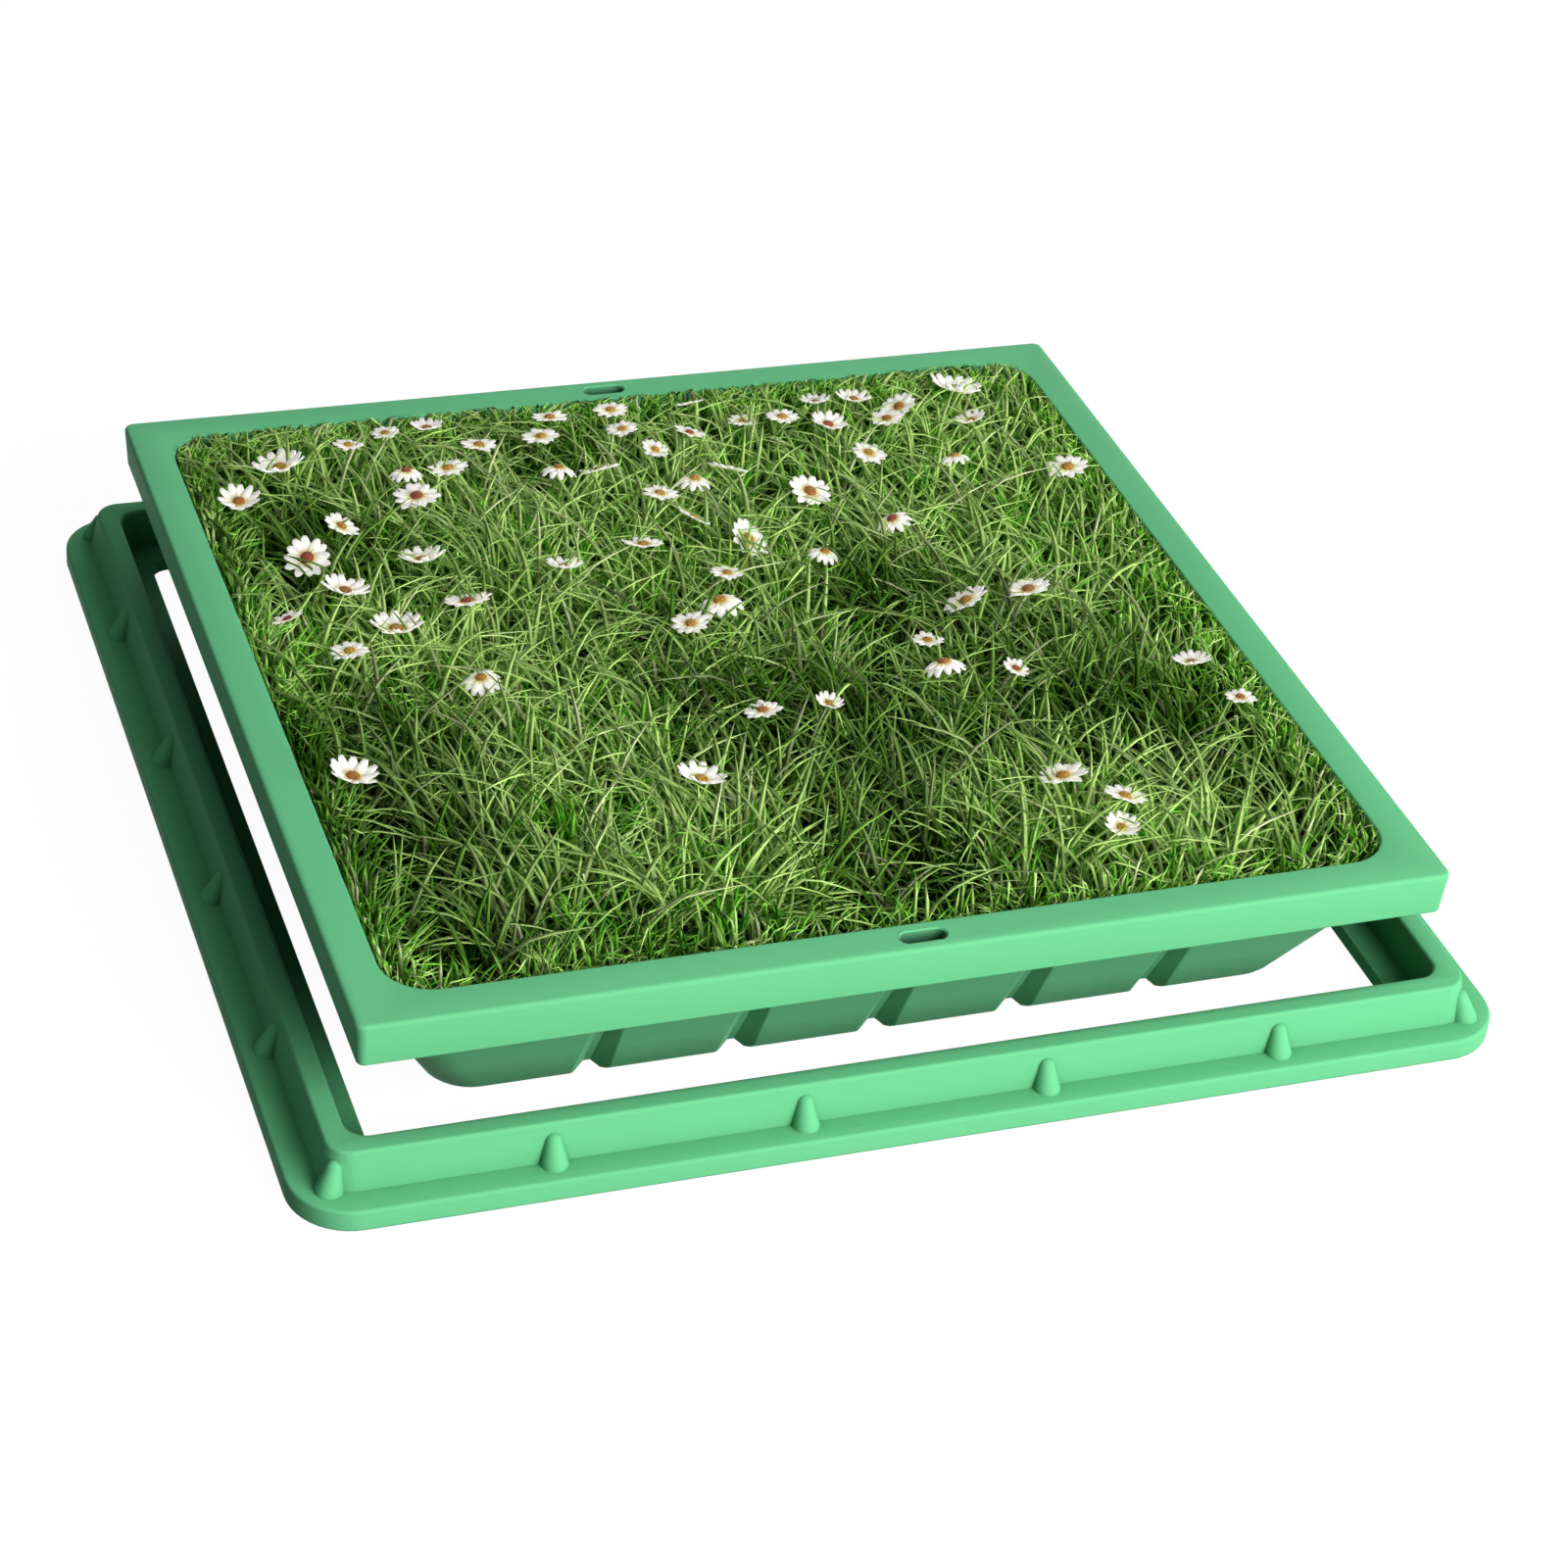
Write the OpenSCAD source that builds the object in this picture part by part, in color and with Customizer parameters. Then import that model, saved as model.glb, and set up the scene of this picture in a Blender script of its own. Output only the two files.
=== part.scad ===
// Square plastic cover for a septic tank or inspection chamber.
// The lid is a deep basin planted with turf and daisies. It stands on its floor inside
// the opening of its frame, lifted out of its seat. The origin is on the ground at the middle.

/* [Lid] */
// Width of the lid across its rim, both ways
lid_w = 600; // [480:5:760]
// Height of the lid from the underside of its basin to the top of its rim
lid_h = 100; // [90:1:140]
// Width of the rim's flat top
rim_w = 22.5; // [20:0.5:30]
// Height of the rim's upright side
rim_h = 26; // [20:1:32]
// Width of the rim's underside, outside the basin
rim_overhang = 19; // [17:0.5:24]
// Draft of the rim's outer side
rim_draft = 1.5; // [0:0.5:3]
// Rounding of the rim's edges
rim_edge_r = 2.5; // [1:0.5:4]
// Radius of the rim's upright corners
rim_corner_r = 6; // [5:0.5:20]
// Radius of the recess's corners
recess_corner_r = 27; // [20:1:40]
// Rounding of the recess's top edge
recess_edge_r = 1.5; // [0.5:0.5:3]

/* [Basin] */
// Thickness of the basin's sides and floor
wall_t = 7; // [5:0.5:9]
// How far each side comes in between the rim and the floor
basin_slope_in = 42; // [20:1:55]
// Radius of the basin's upright corners
basin_corner_r = 25; // [20:1:35]
// Rounding of the basin's bottom edge
basin_edge_r = 10; // [8:1:14]

/* [Grooves] */
// Number of grooves under the basin, which run up its front and back
groove_count = 5; // [2:1:6]
// Width of a groove at its mouth
groove_mouth_w = 15; // [12:1:24]
// Width of a groove's flat bottom
groove_bottom_w = 4; // [3:1:10]
// Depth of a groove
groove_d = 4.5; // [3:0.5:8]

/* [Lifting slots] */
// Length of a lifting slot, end to end
slot_l = 25.5; // [18:0.5:40]
// Width of a lifting slot
slot_w = 9; // [7:0.5:11]
// Bevel round a lifting slot's mouth
slot_bevel = 0.5; // [0.5:0.5:1.5]

/* [Frame] */
// Clearance on each side between the frame's seat and the rim of the lid
seat_gap = 3.5; // [2:0.5:6]
// Width of the ledge that carries the rim
ledge_w = 16; // [12:1:17]
// Thickness of the ledge
ledge_t = 9; // [7:1:12]
// Thickness of the upstand at its top
upstand_t = 12.5; // [10:0.5:16]
// Draft of the upstand's outer side
upstand_draft = 4; // [0:0.5:6]
// Thickness of the flange
flange_t = 13; // [9:1:16]
// Width of the flange outside the upstand's foot
flange_w = 15.5; // [13:0.5:30]
// Radius of the flange's corners
flange_corner_r = 34; // [25:1:45]
// Radius of the upstand's outer corners at the top
upstand_corner_r = 14; // [10:1:25]
// Radius of the seat's and the opening's corners
seat_corner_r = 12; // [8:1:20]
// Rounding of the frame's edges
frame_edge_r = 2; // [1:0.5:3]

/* [Buttresses] */
// Number of buttresses along each side of the frame
buttress_count = 4; // [2:1:6]
// Radius of a buttress at its foot
buttress_foot_r = 7.5; // [6:0.5:9]
// Radius of a buttress at its tip
buttress_tip_r = 4.5; // [3:0.5:5]
// Distance from the upstand's foot to the toe of a buttress on the flange
buttress_reach = 8.5; // [7:0.5:10]
// Distance from the top of the upstand down to a buttress's tip
buttress_drop = 6; // [3:0.5:8]

/* [Planting] */
// Distance from the top of the rim down to the soil
soil_drop = 40; // [34:1:50]
// Clearance round the soil and the turf
soil_gap = 0.3; // [0.2:0.1:1]
// Height of the matted roots and stalks at the foot of the blades
mat_t = 5; // [3:1:8]
// Distance from the top of the rim down to the longest tips
tip_drop = 2; // [1:0.5:6]
// Number of tufts along each side of the turf
tuft_count = 42; // [24:1:44]
// How much the tufts differ in height
tuft_spread = 12; // [0:1:16]
// Radius of a large daisy across its petals
daisy_r = 15; // [10:0.5:18]
// Number of petals of a daisy
petal_count = 13; // [8:1:16]
// Radius of a daisy's yellow centre
daisy_eye_r = 4.5; // [3:0.5:6]
// Thickness of a daisy's petals
petal_t = 1.2; // [0.8:0.1:2]
// Radius of a daisy's stalk
stalk_r = 1.3; // [1:0.1:2]
// Distance from the top of the rim down to the flowers
flower_drop = 4; // [3:0.5:8]

/* [Hidden] */
$fn = 48;
overlap = 1;
corner_steps = 8;
arc_steps = 4;

// Levels above the ground
rim_z = lid_h - rim_h;
soil_z = lid_h - soil_drop;
mat_z = soil_z + soil_gap + mat_t;
tip_z = lid_h - tip_drop;
flower_z = lid_h - flower_drop;
frame_h = ledge_t + rim_h;

// Half widths of the square outlines
lid_half = lid_w / 2;
recess_half = lid_half - rim_w;
basin_half = lid_half - rim_overhang;
floor_half = basin_half - basin_slope_in;
seat_half = lid_half + seat_gap;
opening_half = seat_half - ledge_w;
upstand_half = seat_half + upstand_t;
foot_half = upstand_half + upstand_draft;
flange_half = foot_half + flange_w;

// Slope of the basin's sides, measured from upright
slope = atan(basin_slope_in / rim_z);
groove_pitch = 2 * floor_half / (groove_count + 1);
groove_flare = (groove_mouth_w - groove_bottom_w) / 2 / groove_d;
slot_y = lid_half - rim_w / 2;

moulded_green = [0.36, 0.72, 0.51];
soil_brown = [0.20, 0.14, 0.09];
turf_green = [0.25, 0.50, 0.16];
petal_white = [0.96, 0.96, 0.92];
eye_yellow = [0.86, 0.62, 0.12];

// Points of an arc about [x, y] from one angle to another
function arc(x, y, r, from, to) =
    [for (k = [0:arc_steps])
        let (a = from + (to - from) * k / arc_steps)
        [x + r * cos(a), y + r * sin(a)]];

// One level of a rounded square, as points that run anticlockwise
function ring(half, r, z) =
    [for (q = [0:3], k = [0:corner_steps])
        let (a = 90 * q + 90 * k / corner_steps,
             x = (q == 0 || q == 3) ? half - r : r - half,
             y = q < 2 ? half - r : r - half)
        [x + r * cos(a), y + r * sin(a), z]];

// Solid through rounded squares, each given as [half width, corner radius, height]
module loft(levels) {
    n = 4 * (corner_steps + 1);
    last = len(levels) - 1;
    points = [for (level = levels) each ring(level[0], level[1], level[2])];
    bottom = [for (k = [0:n - 1]) k];
    top = [for (k = [n - 1:-1:0]) last * n + k];
    sides = [for (i = [0:last - 1], k = [0:n - 1])
        [i * n + k, (i + 1) * n + k, (i + 1) * n + (k + 1) % n, i * n + (k + 1) % n]];
    polyhedron(points, concat([bottom, top], sides), convexity = 6);
}

// Rounded square block whose side follows a profile. The profile's points are given
// as [distance out from the corner's centre line, height], from the bottom up.
module profiled_block(half, r, profile) {
    c = half - r;
    low = profile[0][1];
    high = profile[len(profile) - 1][1];
    quarter = concat([[0, low]], profile, [[0, high]]);
    right = [for (p = profile) [c + p[0], p[1]]];
    left = [for (k = [len(profile) - 1:-1:0]) [-c - profile[k][0], profile[k][1]]];
    for (q = [0:3]) rotate(90 * q) translate([c, c, 0])
        rotate_extrude(angle = 90) polygon(quarter);
    for (q = [0, 1]) rotate(90 * q) rotate([90, 0, 90])
        linear_extrude(2 * c, center = true) polygon(concat(right, left));
}

// Half width of the basin's inside or outside at a height, set in by a wall
function side_half(z, inset) = floor_half + z * tan(slope) - inset / cos(slope);

// Corner radius of the basin at a height: the inside blends up into the recess's corner
function side_r(z, inset) = inset == 0
    ? basin_corner_r
    : basin_corner_r - wall_t + (recess_corner_r - basin_corner_r + wall_t) * z / rim_z;

// Levels of the basin from its floor to the top of its bottom rounding
function floor_levels(inset) =
    let (r = max(basin_edge_r - inset, 2),
         z = inset + r,
         half = side_half(z, inset),
         x = half - r * cos(slope),
         from_wall = [for (p = arc(x, z, r, -90, -slope)) p])
    [for (p = from_wall)
        [p[0], side_r(p[1], inset) - max(side_half(p[1], inset) - p[0], 0), p[1]]];

// The basin's form up to a height, set in by a wall
module basin_form(inset, top) {
    loft(concat(floor_levels(inset), [[side_half(top, inset), side_r(top, inset), top]]));
}

// One groove's section swept up the front, along the floor and up the back, with mitred
// turns. Grown by a wall, it is the ridge that the groove raises on the basin's inside.
module groove(grow) {
    flank = grow * sqrt(1 + groove_flare * groove_flare);
    mouth = groove_bottom_w / 2 + 2 * groove_d * groove_flare + flank;
    crest = groove_bottom_w / 2 - grow * groove_flare + flank;
    inner = groove_d + grow;
    section = [[-mouth, -groove_d], [mouth, -groove_d], [crest, inner], [-crest, inner]];
    n = len(section);
    stations = [[-1, true], [-1, false], [1, false], [1, true]];
    points = [for (s = stations, p = section)
        let (z = s[1] ? lid_h : p[1])
        [p[0], s[0] * side_half(z, p[1]), z]];
    last = n * (len(stations) - 1);
    sides = [for (i = [0:len(stations) - 2], k = [0:n - 1])
        [i * n + k, i * n + (k + 1) % n, (i + 1) * n + (k + 1) % n, (i + 1) * n + k]];
    start = [for (k = [n - 1:-1:0]) k];
    end = [for (k = [0:n - 1]) last + k];
    polyhedron(points, concat(sides, [start, end]), convexity = 4);
}

module grooves(grow) {
    for (k = [1:groove_count]) translate([k * groove_pitch - floor_half, 0, 0]) groove(grow);
}

// Rounded slot through the rim, with a bevelled mouth
module lifting_slot() {
    straight = slot_l - slot_w;
    translate([0, slot_y, 0]) {
        for (x = [-straight / 2, straight / 2]) translate([x, 0, 0]) {
            translate([0, 0, rim_z - overlap]) cylinder(h = rim_h + 2 * overlap, d = slot_w);
            translate([0, 0, lid_h - slot_bevel])
                cylinder(h = 2 * slot_bevel, d1 = slot_w, d2 = slot_w + 4 * slot_bevel);
        }
        translate([-straight / 2, -slot_w / 2, rim_z - overlap])
            cube([straight, slot_w, rim_h + 2 * overlap]);
        translate([-straight / 2, 0, lid_h - slot_bevel]) rotate([90, 0, 90])
            linear_extrude(straight)
                polygon([[-slot_w / 2, 0], [slot_w / 2, 0],
                         [slot_w / 2 + 2 * slot_bevel, 2 * slot_bevel],
                         [-slot_w / 2 - 2 * slot_bevel, 2 * slot_bevel]]);
    }
}

module rim() {
    foot_x = rim_corner_r - rim_draft;
    profiled_block(lid_half, rim_corner_r, concat(
        arc(foot_x - rim_draft, rim_z + rim_draft, rim_draft, -90, 0),
        arc(rim_corner_r - rim_edge_r, lid_h - rim_edge_r, rim_edge_r, 0, 90)));
}

// The hollow of the lid, from the basin's floor up through the recess
module hollow() {
    edge_half = recess_half + recess_edge_r;
    edge = arc(edge_half, lid_h - recess_edge_r, recess_edge_r, 180, 90);
    difference() {
        loft(concat(
            floor_levels(wall_t),
            [[side_half(rim_z, wall_t), recess_corner_r, rim_z]],
            [for (p = edge) [p[0], recess_corner_r + p[0] - recess_half, p[1]]],
            [[edge_half + overlap, recess_corner_r + recess_edge_r + overlap,
              lid_h + overlap]]));
        grooves(wall_t);
    }
}

module lid() {
    color(moulded_green) difference() {
        union() {
            rim();
            difference() {
                basin_form(0, rim_z + overlap);
                grooves(0);
            }
        }
        hollow();
        lifting_slot();
        mirror([0, 1, 0]) lifting_slot();
    }
}

// One leaning buttress against the face of the upstand, whose foot line is at x = 0. The
// middle of its round tip lies a little inside that face.
module buttress() {
    high = frame_h - buttress_drop - buttress_tip_r;
    foot_x = buttress_reach - buttress_foot_r;
    tip_x = -upstand_draft * (high - flange_t) / (frame_h - flange_t) - buttress_tip_r / 5;
    lean = atan((foot_x - tip_x) / (high - flange_t));
    length = (high - flange_t) / cos(lean);
    root = flange_t / 2;
    translate([foot_x, 0, flange_t]) rotate([0, -lean, 0]) {
        translate([0, 0, -root]) cylinder(h = root, r = buttress_foot_r);
        cylinder(h = length, r1 = buttress_foot_r, r2 = buttress_tip_r);
        translate([0, 0, length]) sphere(r = buttress_tip_r);
    }
}

module buttresses() {
    pitch = 2 * flange_half / (buttress_count + 1);
    corner_c = upstand_half - upstand_corner_r;
    corner_x = sqrt(2) * corner_c + upstand_corner_r + upstand_draft;
    for (q = [0:3]) rotate(90 * q) {
        for (k = [1:buttress_count]) translate([foot_half, k * pitch - flange_half, 0])
            buttress();
        rotate(45) translate([corner_x, 0, 0]) buttress();
    }
}

module frame() {
    flange_r = flange_corner_r - frame_edge_r;
    seat_edge = arc(seat_corner_r + frame_edge_r, frame_h - frame_edge_r, frame_edge_r, 180, 90);
    color(moulded_green) difference() {
        union() {
            profiled_block(flange_half, flange_corner_r, concat(
                [[flange_corner_r - frame_edge_r / 2, 0],
                 [flange_corner_r, frame_edge_r / 2]],
                arc(flange_r, flange_t - frame_edge_r, frame_edge_r, 0, 90)));
            profiled_block(upstand_half, upstand_corner_r, concat(
                [[upstand_corner_r + upstand_draft, flange_t / 2],
                 [upstand_corner_r + upstand_draft, flange_t]],
                arc(upstand_corner_r - frame_edge_r, frame_h - frame_edge_r,
                    frame_edge_r, 0, 90)));
            buttresses();
        }
        profiled_block(seat_half, seat_corner_r, concat(
            [[seat_corner_r, ledge_t]],
            seat_edge,
            [[seat_corner_r + frame_edge_r, frame_h + overlap]]));
        profiled_block(opening_half, seat_corner_r, [
            [seat_corner_r, -overlap],
            [seat_corner_r, ledge_t + overlap]]);
    }
}

module soil() {
    inset = wall_t + soil_gap;
    color(soil_brown) difference() {
        basin_form(inset, soil_z);
        grooves(inset);
    }
}

// A point of the turf's square grid, with u and v from -1 to 1, drawn in at the corners
function grid_point(u, v, half, r, z) =
    let (x = abs(u) * half,
         y = abs(v) * half,
         dx = x - half + r,
         dy = y - half + r,
         corner = dx > 0 && dy > 0,
         s = corner ? max(dx, dy) / norm([dx, dy]) : 1,
         px = corner ? half - r + dx * s : x,
         py = corner ? half - r + dy * s : y)
    [sign(u) * px, sign(v) * py, z];

// Half width and corner radius of the turf where it meets the lid at a height
function turf_half(z) = side_half(z, wall_t + soil_gap);
function turf_r(z) = side_r(z, wall_t + soil_gap);
turf_pitch = 2 * turf_half(rim_z) / tuft_count;
chance_seed = 11;
lean_x_seed = 23;
lean_y_seed = 37;

// Places of the flowers that stand out, as [x, y, size], and a sparser drift behind them
PLANTED = [
    [-260, -100, 1.0], [-70, -140, 1.0], [125, -170, 1.0], [152, -200, 0.9],
    [140, -228, 0.7], [180, 5, 1.0], [138, 0, 1.0], [98, -58, 0.9],
    [-5, 35, 1.0], [-143, 52, 1.0], [-28, 5, 0.8], [-14, -80, 0.8],
    [22, -88, 0.6], [244, -78, 0.8], [258, -118, 0.7], [-168, -18, 0.8],
    [96, -28, 0.7], [142, -66, 0.6], [-233, 22, 0.8], [-262, 53, 0.7],
    [-200, 50, 0.7], [-185, 30, 0.6], [-212, 78, 1.0], [-158, 112, 1.0],
    [-226, 126, 1.0], [-88, 78, 0.8], [-28, 96, 0.9], [5, 62, 0.7],
    [28, 96, 1.0], [66, 67, 0.7], [5, 122, 0.8], [118, 100, 0.8],
    [90, 136, 1.0], [-2, 150, 0.8], [18, 166, 0.8], [-34, 186, 0.9],
    [-60, 186, 0.8], [258, 134, 1.0], [-262, 185, 0.9], [-146, 169, 1.0],
    [-200, 151, 0.8], [50, 179, 0.9], [133, 170, 0.8], [185, 166, 0.7]];
drift_rows = 3;
drift_columns = 9;
drift_pitch = 54;
drift_row_pitch = 24;
drift_edge = 26;
drift_sway = 16;
drift_dip = 7;
drift_size = 0.75;
drift_size_spread = 0.1;
turn_step = 137.5;
drift = [for (row = [0:drift_rows - 1], k = [0:drift_columns - 1])
    let (n = row * drift_columns + k,
         x = (k - (drift_columns - 1) / 2) * drift_pitch + drift_sway * sin(turn_step * n),
         y = recess_half - drift_edge - row * drift_row_pitch - drift_dip * cos(3 * turn_step * n))
    [x, y, drift_size + drift_size_spread * sin(2 * turn_step * n)]];
function crowded(f) = min([for (p = PLANTED) norm([f[0] - p[0], f[1] - p[1]])]) < 2 * daisy_r;
flowers = concat(PLANTED, [for (f = drift) if (!crowded(f)) f]);

// A flower stands in the middle of a tuft's place inside the border, its petals clear of
// the lid
function tuft_middle(i) = (i + 0.5 - tuft_count / 2) * turf_pitch;
function last_tuft(r) =
    min(floor((recess_half - soil_gap - r) / turf_pitch + tuft_count / 2 - 0.5), tuft_count - 2);
function tuft_index(x, r) =
    let (last = last_tuft(r),
         i = floor(x / turf_pitch + tuft_count / 2))
    min(max(i, tuft_count - 1 - last), last);
stands = [for (f = flowers)
    let (r = daisy_r * f[2])
    [tuft_middle(tuft_index(f[0], r)), tuft_middle(tuft_index(f[1], r)), f[2]]];

// Height of the tuft at a place: in clumps, lower under a flower, and flat where one stands.
// Two waves across the turf, in degrees for each mm, make the clumps, which share the
// spread of the heights with chance.
wave_a = [2.1, 0.7];
wave_b = [-1.1, 2.6];
clump_share = 0.6;
stand_clear = 0.8 * turf_pitch;
function clump(x, y) = (2 + sin(wave_a * [x, y]) + sin(wave_b * [x, y])) / 4;
function nearest_flower(x, y) = min([for (s = stands) norm([x - s[0], y - s[1]])]);
function tuft_z(x, y, chance) =
    let (d = nearest_flower(x, y),
         free = tip_z - tuft_spread * (clump_share * clump(x, y) + (1 - clump_share) * chance),
         under = flower_z - daisy_r / 2)
    d < stand_clear ? mat_z : d < 2 * daisy_r ? min(free, under) : free;

module turf() {
    n = tuft_count;
    count = n * n;
    lean = 0.3 * turf_pitch;
    border_lean = 0.2;
    chance = rands(0, 1, count, chance_seed);
    lean_x = rands(-lean, lean, count, lean_x_seed);
    lean_y = rands(-lean, lean, count, lean_y_seed);
    mat_half = turf_half(rim_z);
    low_half = turf_half(soil_z + soil_gap);
    corner = turf_r(rim_z);
    grid = [for (j = [0:n], i = [0:n])
        let (border = i == 0 || j == 0 || i == n || j == n)
        grid_point(2 * i / n - 1, 2 * j / n - 1, mat_half, corner, border ? rim_z : mat_z)];
    tips = [for (j = [0:n - 1], i = [0:n - 1])
        let (k = j * n + i,
             border = i == 0 || j == 0 || i == n - 1 || j == n - 1,
             u = 2 * (i + 0.5) / n - 1,
             v = 2 * (j + 0.5) / n - 1,
             p = grid_point(u, v, mat_half, corner, 0),
             z = tuft_z(p[0], p[1], chance[k]),
             flat = z <= mat_z,
             bend = flat ? 0 : border ? border_lean : 1)
        [p[0] + bend * lean_x[k], p[1] + bend * lean_y[k], z]];
    edge = concat(
        [for (i = [0:n - 1]) i],
        [for (j = [0:n - 1]) j * (n + 1) + n],
        [for (i = [n:-1:1]) n * (n + 1) + i],
        [for (j = [n:-1:1]) j * (n + 1)]);
    feet = [for (k = edge)
        let (i = k % (n + 1),
             j = floor(k / (n + 1)))
        grid_point(2 * i / n - 1, 2 * j / n - 1, low_half, turf_r(soil_z), soil_z + soil_gap)];
    first_tip = len(grid);
    first_foot = first_tip + count;
    around = len(edge);
    blades = [for (j = [0:n - 1], i = [0:n - 1])
        let (a = j * (n + 1) + i,
             t = first_tip + j * n + i)
        each [[a, t, a + 1], [a + 1, t, a + n + 2], [a + n + 2, t, a + n + 1], [a + n + 1, t, a]]];
    sides = [for (k = [0:around - 1])
        let (next = (k + 1) % around)
        [first_foot + k, edge[k], edge[next], first_foot + next]];
    under = [for (k = [0:around - 1]) first_foot + k];
    color(turf_green) difference() {
        polyhedron(concat(grid, tips, feet), concat(blades, sides, [under]));
        grooves(wall_t + soil_gap);
    }
}

// A flower head with blunt petals, seen from above. A petal's tip takes up most of its
// share of the circle, and the cuts between petals end well outside the centre.
tip_share = 0.72;
cut_share = 0.45;
function petals(r) =
    [for (k = [0:petal_count - 1])
        let (pitch = 360 / petal_count,
             a = k * pitch,
             cut = a - pitch / 2,
             half = tip_share * pitch / 2)
        each [[cut_share * r * cos(cut), cut_share * r * sin(cut)],
              [r * cos(a - half), r * sin(a - half)],
              [r * cos(a + half), r * sin(a + half)]]];

module daisy(size, tilt, turn) {
    r = daisy_r * size;
    eye_r = daisy_eye_r * size;
    eye_rise = eye_r / 3;
    eye_top_r = eye_r * 0.7;
    color(turf_green) translate([0, 0, mat_z])
        cylinder(h = flower_z - mat_z, r = stalk_r);
    translate([0, 0, flower_z]) rotate(turn) rotate([tilt, 0, 0]) {
        color(petal_white) linear_extrude(petal_t, center = true) polygon(petals(r));
        color(eye_yellow) cylinder(h = petal_t + eye_rise, r1 = eye_r, r2 = eye_top_r);
    }
}

module daisies() {
    tilt = 6;
    tilt_spread = 5;
    for (k = [0:len(stands) - 1]) translate([stands[k][0], stands[k][1], 0])
        daisy(stands[k][2], tilt + tilt_spread * sin(turn_step / 2 * k), turn_step * k);
}

frame();
lid();
soil();
turf();
daisies();
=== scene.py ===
"""Studio scene of a square planted tank cover: frame, lid, soil, turf and daisies.

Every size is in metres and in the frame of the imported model: +Z up, the origin on the
ground in the middle. Frame, lid and soil keep the form of their solids: the two mouldings
get rounded edges and a moulded finish, and the soil gets a crumbly crust. Blades and
flowers are modelled here and stand for the plain solids of the turf and the daisies.
"""

import logging
import math
import random
from dataclasses import dataclass, field
from enum import Enum
from typing import Iterator

import bmesh
import bpy
import numpy as np
from mathutils import Matrix, Vector, noise

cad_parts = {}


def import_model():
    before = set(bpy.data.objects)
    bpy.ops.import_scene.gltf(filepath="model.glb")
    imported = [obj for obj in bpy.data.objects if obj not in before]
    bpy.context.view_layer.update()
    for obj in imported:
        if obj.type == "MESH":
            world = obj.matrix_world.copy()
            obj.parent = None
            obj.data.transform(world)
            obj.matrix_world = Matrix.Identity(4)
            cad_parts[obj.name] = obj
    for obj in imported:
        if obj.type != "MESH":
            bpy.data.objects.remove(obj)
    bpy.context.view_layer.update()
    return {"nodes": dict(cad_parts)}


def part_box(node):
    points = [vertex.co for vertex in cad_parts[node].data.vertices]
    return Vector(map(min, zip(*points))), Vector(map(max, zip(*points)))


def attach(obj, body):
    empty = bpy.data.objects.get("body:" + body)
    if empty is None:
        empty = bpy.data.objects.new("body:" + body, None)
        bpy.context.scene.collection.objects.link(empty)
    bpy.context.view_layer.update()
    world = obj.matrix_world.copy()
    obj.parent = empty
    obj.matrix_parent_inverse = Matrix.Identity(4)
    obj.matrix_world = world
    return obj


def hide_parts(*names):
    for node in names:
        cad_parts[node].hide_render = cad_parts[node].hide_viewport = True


LOG = logging.getLogger("planted_cover")
MM = 0.001
# Corners of a solid's loose triangles that lie closer than this are one corner.
MERGE = 0.004 * MM
# Width of the lid's rim, seen from above.
RIM_WIDTH = 22.5 * MM
# Specular level of surfaces that hardly mirror the lamps.
MATT = 0.01
WHITE = (1.0, 1.0, 1.0)
Colour = tuple[float, float, float]
Value = bpy.types.NodeSocket | Colour | float


class Node(Enum):
    """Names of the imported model's nodes."""

    FRAME = "frame"
    LID = "lid"
    SOIL = "soil"
    TURF = "turf"
    DAISIES = "daisies"


def srgb(red: int, green: int, blue: int) -> Colour:
    """Turns a colour given in 0 to 255 into the linear one that a shader takes.

    Args:
        red: Its red.
        green: Its green.
        blue: Its blue.

    Returns:
        The linear colour.
    """

    def linear(value: int) -> float:
        """Returns one channel without its display curve."""
        share = value / 255
        return share / 12.92 if share <= 0.04045 else ((share + 0.055) / 1.055) ** 2.4

    return linear(red), linear(green), linear(blue)


def plain(value: Colour | float) -> tuple[float, ...] | float:
    """Returns a fixed value as a socket takes it: a colour with an alpha of one, or a number."""
    return (*value, 1.0) if isinstance(value, tuple) else value


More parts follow.
